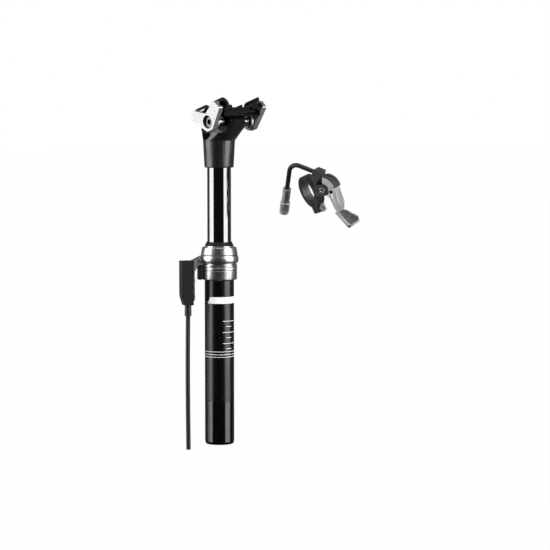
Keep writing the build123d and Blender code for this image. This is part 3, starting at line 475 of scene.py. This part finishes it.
CABLE_BLACK = Finish(
    "extruded_black_cable", "cable_black", (0.01, 0.01, 0.011), 0.34, 0.0, Process.DRAWN,
    0.0008, 2.0, 0.2,
)
NOODLE_BLACK = Finish(
    "black_noodle", "noodle_black", (0.01, 0.01, 0.01), 0.36, 0.0, Process.MOULDED, 0.003, 3.0,
    0.2,
)
BUSH_PLASTIC = Finish(
    "acetal_bush", "bush_plastic", (0.72, 0.7, 0.64), 0.45, 0.0, Process.TURNED, 0.004, 5.0,
    0.06,
)
SEAL_RUBBER = Finish(
    "seal_rubber", "seal_rubber", (0.006, 0.006, 0.006), 0.5, 0.0, Process.MOULDED, 0.004, 4.0,
    0.2, gloss=0.15,
)
MARK_WHITE = Finish(
    "printed_white", "tube_black", (0.78, 0.78, 0.76), 0.5, 0.0, Process.MOULDED, 0.0005, 5.0,
    0.03,
)

NODE_FINISHES: dict[str, Finish] = {
    "outer_tube": TUBE_BLACK,
    "end_sleeve": SLEEVE_BLACK,
    "end_plug": PLUG_BLACK,
    "end_cap": PLUG_BLACK,
    "collar_seal": SEAL_RUBBER,
    "lock_ring": SILVER_SATIN,
    "collar_ring": SILVER_MACHINED,
    "actuator_ring": SILVER_MACHINED,
    "top_cap": SILVER_MACHINED,
    "wiper_seal": SEAL_RUBBER,
    "upper_bush": BUSH_PLASTIC,
    "lower_bush": BUSH_PLASTIC,
    "guide_keys": BRASS_KEY,
    "stanchion": STANCHION_BLACK,
    "actuator_housing": HOUSING_PLASTIC,
    "housing_cover": HOUSING_PLASTIC,
    "cover_screws": BLACK_STEEL,
    "crank_guard": HOUSING_PLASTIC,
    "bell_crank": BRIGHT_STEEL,
    "crank_pin": DARK_STEEL,
    "cable_barrel": BRASS_KEY,
    "inner_wire": BRIGHT_STEEL,
    "cable_ferrule": FERRULE_BLACK,
    "cable_housing": CABLE_BLACK,
    "pull_rod": BRIGHT_STEEL,
    "rocker": BRIGHT_STEEL,
    "rocker_pin": BRIGHT_STEEL,
    "valve_pin": BRIGHT_STEEL,
    "piston_rod": BRIGHT_STEEL,
    "piston": PLAIN_ALUMINIUM,
    "piston_seal": SEAL_RUBBER,
    "cartridge_cylinder": PLAIN_ALUMINIUM,
    "cartridge_seal_head": PLAIN_ALUMINIUM,
    "cartridge_retainer": PLAIN_ALUMINIUM,
    "cartridge_nut": PLAIN_ALUMINIUM,
    "floating_piston": PLAIN_ALUMINIUM,
    "floating_seal": SEAL_RUBBER,
    "saddle_head": HEAD_BLACK,
    "cradle": CRADLE_BLACK,
    "left_plate": PLATE_SILVER,
    "right_plate": PLATE_SILVER,
    "clamp_bolt": DARK_STEEL,
    "clamp_nut": BRIGHT_STEEL,
    "clamp_spacers": SILVER_SATIN,
    "remote_clamp": REMOTE_BLACK,
    "pinch_bolt": BRIGHT_STEEL,
    "thumb_lever": LEVER_SILVER,
    "track_cover": REMOTE_BLACK,
    "pivot_bush": BUSH_PLASTIC,
    "pivot_bolt": BRIGHT_STEEL,
    "anchor_screw": BLACK_STEEL,
    "noodle": NOODLE_BLACK,
    "adjuster_neck": ADJUSTER_SILVER,
    "adjuster_barrel": ADJUSTER_SILVER,
}


BODY_OF: dict[str, str] = {name: node["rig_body"] for name, node in frame["nodes"].items()}


class Workshop:
    """Makes finished pieces out of bmeshes and sets them in the frame."""

    def __init__(self, finishes: Finishes) -> None:
        """Keep the finishes.

        Args:
            finishes: the materials' maker.
        """
        self.finishes = finishes

    def piece(
        self,
        bm: bmesh.types.BMesh,
        name: str,
        body: str,
        finish: Finish,
        nodes: Sequence[str] = (),
        sharp_deg: float = 32.0,
    ) -> bpy.types.Object:
        """Turn a bmesh into a finished piece.

        Args:
            bm: the shape, in metres, in the row frame. It is freed.
            name: the piece's name.
            body: the body it rides on.
            finish: its finish.
            nodes: the CAD nodes that it stands for.
            sharp_deg: edges that turn more than this stay sharp.

        Returns:
            The piece.
        """
        bmesh.ops.recalc_face_normals(bm, faces=bm.faces)
        mesh = bpy.data.meshes.new(name)
        bm.to_mesh(mesh)
        bm.free()
        for polygon in mesh.polygons:
            polygon.use_smooth = True
        mesh.set_sharp_from_angle(angle=math.radians(sharp_deg))
        piece = bpy.data.objects.new(name, mesh)
        bpy.context.scene.collection.objects.link(piece)
        mesh.materials.append(self.finishes.of(finish))
        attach(piece, body)
        if nodes:
            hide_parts(*nodes)
        log.info("piece %s on %s with %d faces", name, body, len(mesh.polygons))
        return piece

    def softened(
        self, piece: bpy.types.Object, width_mm: float, segments: int, angle_deg: float
    ) -> None:
        """Round a piece's sharp edges with a live bevel.

        Args:
            piece: the piece.
            width_mm: the bevel's width.
            segments: its steps.
            angle_deg: edges that turn less than this are left.
        """
        bevel = piece.modifiers.new("edges", "BEVEL")
        bevel.width = width_mm * MM
        bevel.segments = segments
        bevel.limit_method = "ANGLE"
        bevel.angle_limit = math.radians(angle_deg)
        bevel.use_clamp_overlap = True
        bevel.harden_normals = True

    def copy_of(self, node: str) -> bmesh.types.BMesh:
        """A CAD node's mesh with its seams closed and its flat faces whole.

        Args:
            node: the node's name.

        Returns:
            The cleaned copy.
        """
        bm = bmesh.new()
        bm.from_mesh(frame["nodes"][node].data)
        bmesh.ops.remove_doubles(bm, verts=bm.verts, dist=MERGE_M)
        bmesh.ops.dissolve_limit(
            bm, angle_limit=math.radians(FLAT_DEG), verts=bm.verts, edges=bm.edges, delimit={"NORMAL"}
        )
        return bm


def joint_seat(name: str) -> Matrix:
    """A joint's place, with its Z along the joint's axis and its X level.

    Args:
        name: the joint's name.

    Returns:
        The matrix from the joint's own frame to the row frame.
    """
    joint = next(joint for joint in frame["joints"] if joint["name"] == name)
    axis = Vector(joint["axis"]).normalized()
    level = Vector((0, 0, 1)).cross(axis).normalized()
    seat = Matrix((level, axis.cross(level), axis)).transposed().to_4x4()
    seat.translation = Vector(joint["pos_m"])
    return seat


@dataclass
class Spindle:
    """A closed profile spun about Z, with flutes where its corners ask for them."""

    profile: Sequence[tuple[float, float, float]]
    steps: int = 96
    flutes: int = 0

    def shape(self, seat: Matrix) -> bmesh.types.BMesh:
        """Spin the profile.

        Args:
            seat: the matrix that places the spindle in the row frame.

        Returns:
            The shape, in metres.
        """
        bm = bmesh.new()
        depth = bm.verts.layers.float.new("flute")
        corners = []
        for radius, height, flute in self.profile:
            corner = bm.verts.new((radius * MM, 0, height * MM))
            corner[depth] = flute * MM
            corners.append(corner)
        edges = [bm.edges.new(pair) for pair in zip(corners, corners[1:] + corners[:1])]
        bmesh.ops.spin(bm, geom=corners + edges, cent=(0, 0, 0), axis=(0, 0, 1), angle=math.tau,
                       steps=self.steps, use_merge=True)
        for vert in bm.verts:
            if vert[depth]:
                wave = (1 - math.cos(self.flutes * math.atan2(vert.co.y, vert.co.x))) / 2
                vert.co.xy -= vert.co.xy.normalized() * vert[depth] * wave
        bm.verts.layers.float.remove(depth)
        bmesh.ops.transform(bm, matrix=seat, verts=bm.verts)
        return bm


@dataclass
class FlutedBarrel:
    """The cable adjuster's turning barrel, with finger flutes between two plain bands."""

    radius_mm: float = 4.45
    half_mm: float = 6.0
    bore_mm: float = 1.0
    pocket_mm: float = 2.9
    band_mm: float = 1.8
    round_mm: float = 0.9
    round_share: float = 0.3
    steps_per_flute: int = 8
    flute_mm: float = 0.32
    flutes: int = 24

    def build(self, shop: Workshop) -> None:
        """Make the barrel on its joint.

        Args:
            shop: the pieces' maker.
        """
        outer = self.radius_mm
        low = -self.half_mm
        high = self.half_mm
        profile = [
            (self.bore_mm, high, 0),
            (outer - self.round_mm, high, 0),
            (outer - self.round_mm * self.round_share, high - self.round_mm * self.round_share, 0),
            (outer, high - self.round_mm, 0),
            (outer, high - self.band_mm, 0),
            (outer, high - self.band_mm - self.flute_mm, self.flute_mm),
            (outer, low + self.band_mm + self.flute_mm, self.flute_mm),
            (outer, low + self.band_mm, 0),
            (outer, low + self.flute_mm, 0),
            (outer - self.flute_mm, low, 0),
            (self.pocket_mm, low, 0),
            (self.pocket_mm, 0, 0),
            (self.bore_mm, 0, 0),
        ]
        spindle = Spindle(profile, self.flutes * self.steps_per_flute, self.flutes)
        barrel = spindle.shape(joint_seat("adjuster_turn"))
        shop.piece(barrel, "fluted_barrel", "adjuster", ADJUSTER_SILVER, ["adjuster_barrel"])


@dataclass
class CableFittings:
    """Ribs round the ferrule, and the liner and wire at the cable's bare end."""

    turn_deg: float = 65.0
    out_mm: float = 30.0
    ferrule_r_mm: float = 3.1
    rib_heights_mm: tuple[float, ...] = (-31.5, -30.0, -28.5)
    rib_proud_mm: float = 0.22
    rib_half_mm: float = 0.45
    end_z_mm: float = -157.5
    liner_r_mm: float = 1.25
    wire_r_mm: float = 0.6
    show_mm: float = 0.06
    end_steps: int = 48

    def seat(self) -> Matrix:
        """The cable's line, with Z up."""
        turn = math.radians(self.turn_deg)
        out = self.out_mm * MM
        return Matrix.Translation((out * math.cos(turn), out * math.sin(turn), 0))

    def build(self, shop: Workshop) -> None:
        """Make the ribs, the liner and the wire's end.

        Args:
            shop: the pieces' maker.
        """
        inner = self.ferrule_r_mm - self.rib_proud_mm
        outer = self.ferrule_r_mm + self.rib_proud_mm
        half = self.rib_half_mm
        for number, height in enumerate(self.rib_heights_mm):
            profile = [
                (inner, height - half, 0),
                (outer, height - half / 2, 0),
                (outer, height + half / 2, 0),
                (inner, height + half, 0),
            ]
            rib = Spindle(profile).shape(self.seat())
            shop.piece(rib, f"ferrule_rib_{number}", "tube", FERRULE_BLACK)
        top = self.end_z_mm + half
        low = self.end_z_mm - self.show_mm
        for name, inner, outer, finish in (
            ("cable_liner_end", self.wire_r_mm + self.show_mm, self.liner_r_mm, LINER_PALE),
            ("cable_wire_end", self.show_mm, self.wire_r_mm, BRIGHT_STEEL),
        ):
            profile = [(inner, low, 0), (outer, low, 0), (outer, top, 0), (inner, top, 0)]
            shop.piece(Spindle(profile, self.end_steps).shape(self.seat()), name, "tube", finish)


@dataclass
class ThumbPad:
    """The polished dish of the thumb paddle, with its two curved ridges."""

    corner_mm: Point = (13.2, -18.4, 6.0)
    turn_deg: float = 48.9
    length_mm: float = 19.0
    width_mm: float = 26.0
    dish_r_mm: float = 60.0
    dish_mm: float = 1.8
    neck_mm: float = 12.6
    flare_mm: float = 4.0
    flare_width_mm: float = 18.5
    corner_cut_mm: float = 4.5
    rim_mm: float = 1.5
    proud_mm: float = 0.04
    ridge_starts_mm: tuple[float, ...] = (6.0, 11.5)
    ridge_bow_mm: float = 5.0
    ridge_mm: float = 0.35
    ridge_width_mm: float = 0.8
    ridge_middle: float = 0.45
    rows: int = 150
    columns: int = 100

    def far_edge(self, along: float) -> float:
        """How wide the paddle is at a place along it.

        Args:
            along: millimetres from the arm.

        Returns:
            The width in millimetres.
        """
        corner = self.length_mm - self.corner_cut_mm
        stations = (0.0, self.flare_mm, corner, self.length_mm)
        widths = (self.neck_mm, self.flare_width_mm, self.width_mm, self.width_mm - self.corner_cut_mm)
        for start, end, first, last in zip(stations, stations[1:], widths, widths[1:]):
            if along <= end:
                return first + (last - first) * (along - start) / (end - start)
        return widths[-1]

    def height(self, along: float, across: float) -> float:
        """The pad's height over the paddle's flat face.

        Args:
            along: millimetres from the arm.
            across: millimetres from the near edge.

        Returns:
            The height in millimetres, below zero in the dish.
        """
        offset = (along - self.length_mm / 2) ** 2 + (across - self.width_mm / 2) ** 2
        dish = self.dish_r_mm - self.dish_mm - math.sqrt(self.dish_r_mm ** 2 - offset)
        height = min(dish, 0.0) + self.proud_mm
        fade = math.sin(math.pi * min(1.0, across / self.width_mm)) ** 0.5
        for start in self.ridge_starts_mm:
            bow = self.ridge_bow_mm * (across / self.width_mm - self.ridge_middle) ** 2 * 4
            line = start - bow + self.ridge_bow_mm / 2
            height += self.ridge_mm * fade * math.exp(-(((along - line) / self.ridge_width_mm) ** 2))
        return height

    def build(self, shop: Workshop) -> None:
        """Make the pad over the paddle's dish.

        Args:
            shop: the pieces' maker.
        """
        pressed = joint_seat("lever_press")
        x_axis = -pressed.col[0].xyz
        axis = -pressed.col[2].xyz
        seat = Matrix((x_axis, axis.cross(x_axis), axis)).transposed().to_4x4()
        seat.translation = pressed.translation
        place = seat @ Matrix.Translation(Vector(self.corner_mm) * MM)
        place = place @ Matrix.Rotation(-math.radians(self.turn_deg), 4, "Z")
        bm = bmesh.new()
        bmesh.ops.create_grid(bm, x_segments=self.rows, y_segments=self.columns, size=0.5)
        for vert in bm.verts:
            along = self.rim_mm + (self.length_mm - 2 * self.rim_mm) * (vert.co.x + 0.5)
            across = self.rim_mm + (self.far_edge(along) - 2 * self.rim_mm) * (vert.co.y + 0.5)
            vert.co = Vector((along, self.height(along, across), -across)) * MM
        bmesh.ops.transform(bm, matrix=place, verts=bm.verts)
        bmesh.ops.solidify(bm, geom=bm.faces, thickness=self.ridge_mm * MM)
        shop.piece(bm, "thumb_pad", "lever", PAD_POLISH)


@dataclass(frozen=True)
class Edge:
    """How far a node's edges are rounded."""

    width_mm: float
    segments: int = 2
    angle_deg: float = 32.0
    rim_mm: float = 0.0


NODE_EDGES: dict[str, Edge] = {
    "lock_ring": Edge(0.2),
    "collar_ring": Edge(0.12),
    "actuator_ring": Edge(0.25),
    "top_cap": Edge(0.2, rim_mm=0.9),
    "actuator_housing": Edge(0.35, 3),
    "housing_cover": Edge(0.2),
    "crank_guard": Edge(0.4, 3),
    "crank_pin": Edge(0.3),
    "cable_ferrule": Edge(0.25),
    "saddle_head": Edge(0.5, 3, 40.0),
    "cradle": Edge(0.3, 3, 40.0),
    "left_plate": Edge(0.45, 3),
    "right_plate": Edge(0.45, 3),
    "clamp_bolt": Edge(0.25),
    "clamp_nut": Edge(0.25),
    "clamp_spacers": Edge(0.15),
    "remote_clamp": Edge(0.25, 2, 40.0),
    "pinch_bolt": Edge(0.25),
    "thumb_lever": Edge(0.3, 3, 40.0),
    "track_cover": Edge(0.15),
    "pivot_bolt": Edge(0.2),
    "adjuster_neck": Edge(0.25),
}


@dataclass
class SoftCopies:
    """Copies of the CAD nodes in view, with rounded edges."""

    table: dict[str, Edge] = field(default_factory=lambda: dict(NODE_EDGES))
    rim_near_mm: float = 0.05

    def cut_rim(self, bm: bmesh.types.BMesh, width_mm: float) -> None:
        """Chamfer the lowest outer rim of a turned piece, which leaves a groove over its neighbour.

        Args:
            bm: the copy.
            width_mm: the chamfer's width.
        """
        near = self.rim_near_mm * MM
        low = min(vert.co.z for vert in bm.verts)
        reach = max(math.hypot(vert.co.x, vert.co.y) for vert in bm.verts)
        rim = [edge for edge in bm.edges
               if all(vert.co.z < low + near and math.hypot(vert.co.x, vert.co.y) > reach - near
                      for vert in edge.verts)]
        bmesh.ops.bevel(bm, geom=rim, offset=width_mm * MM, offset_type="OFFSET", segments=1,
                        profile=0.5, affect="EDGES", material=-1)

    def build(self, shop: Workshop) -> None:
        """Make each copy in its node's place.

        Args:
            shop: the pieces' maker.
        """
        for name, edge in self.table.items():
            bm = shop.copy_of(name)
            if edge.rim_mm:
                self.cut_rim(bm, edge.rim_mm)
            finish = NODE_FINISHES[name]
            piece = shop.piece(bm, f"soft_{name}", BODY_OF[name], finish, [name], edge.angle_deg)
            shop.softened(piece, edge.width_mm, edge.segments, edge.angle_deg)


@dataclass
class Studio:
    """The floor, the lamps, the world and the camera of the photograph."""

    view_turn_deg: float = 228.0
    view_height_deg: float = 5.0
    distance_m: float = 2.0
    frame_width_m: float = 0.50875
    aim_right_mm: float = 51.5
    aim_up_mm: float = 4.07
    floor_z_m: float = -0.62
    sensor_mm: float = 36.0
    softbox_glow: float = 3.4
    softboxes: tuple[tuple[float, float], ...] = ((69.0, 1.35), (-80.0, 1.45))
    softbox_height_m: float = 2.0
    softbox_distance_m: float = 1.5
    remote_lamp_m: Point = (0.42, 0.26, 0.3)
    remote_lamp_width_m: float = 0.25
    remote_lamp_glow: float = 9.0
    softbox_rise_m: float = 0.4
    top_near_m: float = 0.5
    top_rise_m: float = 1.6
    top_size_m: tuple[float, float] = (1.2, 0.8)
    top_glow: float = 3.0
    floor_half_m: float = 20.0
    floor_pale: float = 0.85
    floor_seen: float = 0.99
    room_dark: float = 0.015
    room_pale: float = 0.16
    room_range: tuple[float, float] = (0.1, 0.95)
    fill: float = 0.32

    def back(self) -> Vector:
        """The direction from the object to the camera."""
        turn = math.radians(self.view_turn_deg)
        rise = math.radians(self.view_height_deg)
        level = math.cos(rise)
        return Vector((math.sin(turn) * level, -math.cos(turn) * level, math.sin(rise)))

    def right(self) -> Vector:
        """The picture's right."""
        turn = math.radians(self.view_turn_deg)
        return Vector((math.cos(turn), math.sin(turn), 0))

    def camera(self) -> None:
        """Set up the camera at the photograph's angle."""
        data = bpy.data.cameras.new("camera")
        data.sensor_width = self.sensor_mm
        data.lens = self.sensor_mm * self.distance_m / self.frame_width_m
        camera = bpy.data.objects.new("camera", data)
        bpy.context.scene.collection.objects.link(camera)
        aim = self.right() * self.aim_right_mm * MM + Vector((0, 0, self.aim_up_mm * MM))
        camera.location = aim + self.back() * self.distance_m
        camera.rotation_euler = self.back().to_track_quat("Z", "Y").to_euler()
        bpy.context.scene.camera = camera
        bpy.context.scene.view_settings.view_transform = "Standard"

    def lamp(self, name: str, place: Vector, width: float, height: float, glow: float) -> None:
        """Add a softbox that faces the object.

        Args:
            name: its name.
            place: where it stands.
            width: its width in metres.
            height: its height in metres.
            glow: its brightness, where 1 is white.
        """
        data = bpy.data.lights.new(name, "AREA")
        data.shape = "RECTANGLE"
        data.size = width
        data.size_y = height
        data.energy = glow * math.pi * width * height
        lamp = bpy.data.objects.new(name, data)
        bpy.context.scene.collection.objects.link(lamp)
        lamp.location = place
        lamp.rotation_euler = place.to_track_quat("Z", "Y").to_euler()
        lamp.visible_camera = False

    def lamps(self) -> None:
        """A softbox at each side and one overhead."""
        flat_back = Vector((self.back().x, self.back().y, 0)).normalized()
        for number, (turn_deg, width) in enumerate(self.softboxes):
            turn = math.radians(turn_deg)
            direction = flat_back * math.cos(turn) + self.right() * math.sin(turn)
            place = direction * self.softbox_distance_m + Vector((0, 0, self.softbox_rise_m))
            self.lamp(f"side_softbox_{number}", place, width, self.softbox_height_m, self.softbox_glow)
        top = flat_back * self.top_near_m + Vector((0, 0, self.top_rise_m))
        self.lamp("top_softbox", top, *self.top_size_m, self.top_glow)
        right, near, up = self.remote_lamp_m
        beside = self.right() * right + flat_back * near + Vector((0, 0, up))
        size = self.remote_lamp_width_m
        self.lamp("remote_softbox", beside, size, size, self.remote_lamp_glow)

    def floor(self) -> None:
        """A pale floor that stays white where no shadow falls."""
        bm = bmesh.new()
        bmesh.ops.create_grid(bm, x_segments=1, y_segments=1, size=self.floor_half_m)
        bmesh.ops.translate(bm, verts=bm.verts, vec=(0, 0, self.floor_z_m))
        mesh = bpy.data.meshes.new("floor")
        bm.to_mesh(mesh)
        bm.free()
        floor = bpy.data.objects.new("floor", mesh)
        bpy.context.scene.collection.objects.link(floor)
        material = bpy.data.materials.new("pale_floor")
        material.use_nodes = True
        sketch = Sketch(material.node_tree)
        tone = (self.floor_pale, self.floor_pale, self.floor_pale, 1)
        pale = sketch.node("ShaderNodeBsdfDiffuse", None, {"Color": tone})
        white = sketch.node("ShaderNodeEmission", None, {"Color": (1, 1, 1, 1), "Strength": 1.0})
        path = sketch.node("ShaderNodeLightPath")
        seen = Link(sketch.tree, path.outputs["Is Camera Ray"])
        glossy = Link(sketch.tree, path.outputs["Is Glossy Ray"])
        blend = sketch.node("ShaderNodeMixShader", None, {0: seen * self.floor_seen + glossy})
        sketch.tree.links.new(pale.outputs[0], blend.inputs[1])
        sketch.tree.links.new(white.outputs[0], blend.inputs[2])
        output = sketch.node("ShaderNodeOutputMaterial")
        sketch.tree.links.new(blend.outputs[0], output.inputs[0])
        mesh.materials.append(material)
        floor.visible_glossy = False

    def world(self) -> None:
        """A white backdrop for the camera, and a dim room with a pale back wall for the light."""
        world = bpy.data.worlds.new("studio")
        bpy.context.scene.world = world
        world.use_nodes = True
        sketch = Sketch(world.node_tree)
        path = sketch.node("ShaderNodeLightPath")
        seen = Link(sketch.tree, path.outputs["Is Camera Ray"])
        glossy = Link(sketch.tree, path.outputs["Is Glossy Ray"])
        direction = sketch.link("ShaderNodeTexCoord", "Generated")
        facing = sketch.node("ShaderNodeVectorMath", {"operation": "DOT_PRODUCT"}, {0: direction})
        facing.inputs[1].default_value = -self.back()
        away = Link(sketch.tree, facing.outputs["Value"]).between(*self.room_range)
        room = self.room_dark + away * self.room_pale
        strength = seen + (1 - seen) * (glossy * room + (1 - glossy) * self.fill)
        shader = sketch.node("ShaderNodeBackground", None, {"Color": (1, 1, 1, 1), "Strength": strength})
        output = sketch.node("ShaderNodeOutputWorld")
        sketch.tree.links.new(shader.outputs[0], output.inputs[0])

    def build(self) -> None:
        """Set up the whole studio."""
        self.camera()
        self.lamps()
        self.floor()
        self.world()


@dataclass
class Cable:
    """The free cable, which hangs from its ferrule to a bare end."""

    actuator_turn_deg: float = 65.0
    radius_mm: float = 2.1
    length_mm: float = 129.3
    route: tuple[tuple[float, float], ...] = (
        (30.0, -28.2),
        (30.375, -60.525),
        (30.5, -92.85),
        (30.35, -125.175),
        (30.0, -157.5),
    )

    def build(self, shop: Workshop) -> bpy.types.Object:
        """Args:
            shop: the pieces' maker.

        Returns:
            The cable.
        """
        turn = math.radians(self.actuator_turn_deg)
        curve = bpy.data.curves.new("free_cable", "CURVE")
        curve.dimensions = "3D"
        spline = curve.splines.new("NURBS")
        spline.points.add(len(self.route) - 1)
        for point, (radius, height) in zip(spline.points, self.route):
            point.co = (radius * math.cos(turn) * MM, radius * math.sin(turn) * MM, height * MM, 1)
        spline.order_u = 3
        spline.use_endpoint_u = True
        spline.resolution_u = 12
        curve.bevel_depth = self.radius_mm * MM
        curve.bevel_resolution = 8
        curve.use_fill_caps = True
        cable = bpy.data.objects.new("free_cable", curve)
        bpy.context.scene.collection.objects.link(cable)
        curve.materials.append(shop.finishes.of(CABLE_BLACK))
        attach(cable, "tube")
        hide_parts("cable_housing")
        return cable


@dataclass
class PrintedMarks:
    """The white insertion marks on the lower tube, without any text."""

    tube_r_mm: float = 13.6
    facing_deg: float = 138.0
    proud_mm: float = 0.04
    bar: tuple[float, float, float, float] = (-49.0, 80.0, -21.4, -15.4)
    bar_slant_deg: float = 12.0
    long_ticks_mm: tuple[float, ...] = (-37.7, -48.0, -58.3)
    long_span_deg: tuple[float, float] = (15.0, 72.0)
    short_ticks_mm: tuple[float, ...] = (-42.7, -53.0, -63.2)
    short_span_deg: tuple[float, float] = (28.0, 54.0)
    tick_width_mm: float = 0.45
    rings_mm: tuple[float, ...] = (-66.0, -68.6, -71.0)
    ring_width_mm: float = 0.4
    step_deg: float = 3.0
    fewest_steps: int = 6
    sunk_share: float = 0.9

    def strip(
        self,
        bm: bmesh.types.BMesh,
        start_deg: float,
        end_deg: float,
        low: float,
        high: float,
        slant_deg: float = 0.0,
    ) -> None:
        """Add a curved strip round the tube.

        Args:
            bm: the bmesh it goes into.
            start_deg: where it starts, from the middle of the picture towards its right.
            end_deg: where it ends.
            low: its lower edge's height in millimetres.
            high: its upper edge's height.
            slant_deg: how much further round its upper edge stands.
        """
        outer = (self.tube_r_mm + self.proud_mm) * MM
        rows = 1 + round(slant_deg / self.step_deg)
        column = []
        for row in range(rows + 1):
            turn = math.radians(self.facing_deg + start_deg + slant_deg * row / rows)
            height = low + (high - low) * row / rows
            column.append(bm.verts.new((outer * math.cos(turn), outer * math.sin(turn), height * MM)))
        edges = [bm.edges.new(pair) for pair in zip(column, column[1:])]
        sweep = math.radians(end_deg - start_deg)
        steps = max(self.fewest_steps, round(abs(end_deg - start_deg) / self.step_deg))
        full = abs(end_deg - start_deg) >= 360
        bmesh.ops.spin(bm, geom=[*column, *edges], cent=(0, 0, 0), axis=(0, 0, 1), angle=sweep,
                       steps=steps, use_merge=full)

    def build(self, shop: Workshop) -> None:
        """Make the marks as one thin printed layer.

        Args:
            shop: the pieces' maker.
        """
        bm = bmesh.new()
        self.strip(bm, *self.bar, slant_deg=self.bar_slant_deg)
        half = self.tick_width_mm / 2
        for height in self.long_ticks_mm:
            self.strip(bm, *self.long_span_deg, height - half, height + half)
        for height in self.short_ticks_mm:
            self.strip(bm, *self.short_span_deg, height - half, height + half)
        half = self.ring_width_mm / 2
        for height in self.rings_mm:
            self.strip(bm, 0, 360, height - half, height + half)
        bmesh.ops.solidify(bm, geom=bm.faces, thickness=self.proud_mm * MM * self.sunk_share)
        shop.piece(bm, "insertion_marks", "tube", MARK_WHITE)


@dataclass
class CadDress:
    """Gives the carried over CAD nodes their finishes."""

    table: dict[str, Finish] = field(default_factory=lambda: dict(NODE_FINISHES))

    def build(self, shop: Workshop) -> None:
        """Assign each node its material.

        Args:
            shop: the pieces' maker.
        """
        for name, finish in self.table.items():
            node = frame["nodes"][name]
            node.data.materials.clear()
            node.data.materials.append(shop.finishes.of(finish))
        log.info("dressed %d nodes", len(self.table))


def main() -> None:
    """Build the studio and every piece, in order."""
    logging.basicConfig(level=logging.INFO, format="%(name)s: %(message)s")
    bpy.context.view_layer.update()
    Studio().build()
    shop = Workshop(Finishes())
    Cable().build(shop)
    SoftCopies().build(shop)
    FlutedBarrel().build(shop)
    CableFittings().build(shop)
    ThumbPad().build(shop)
    CadDress().build(shop)
    PrintedMarks().build(shop)


if __name__ == "__main__":
    main()
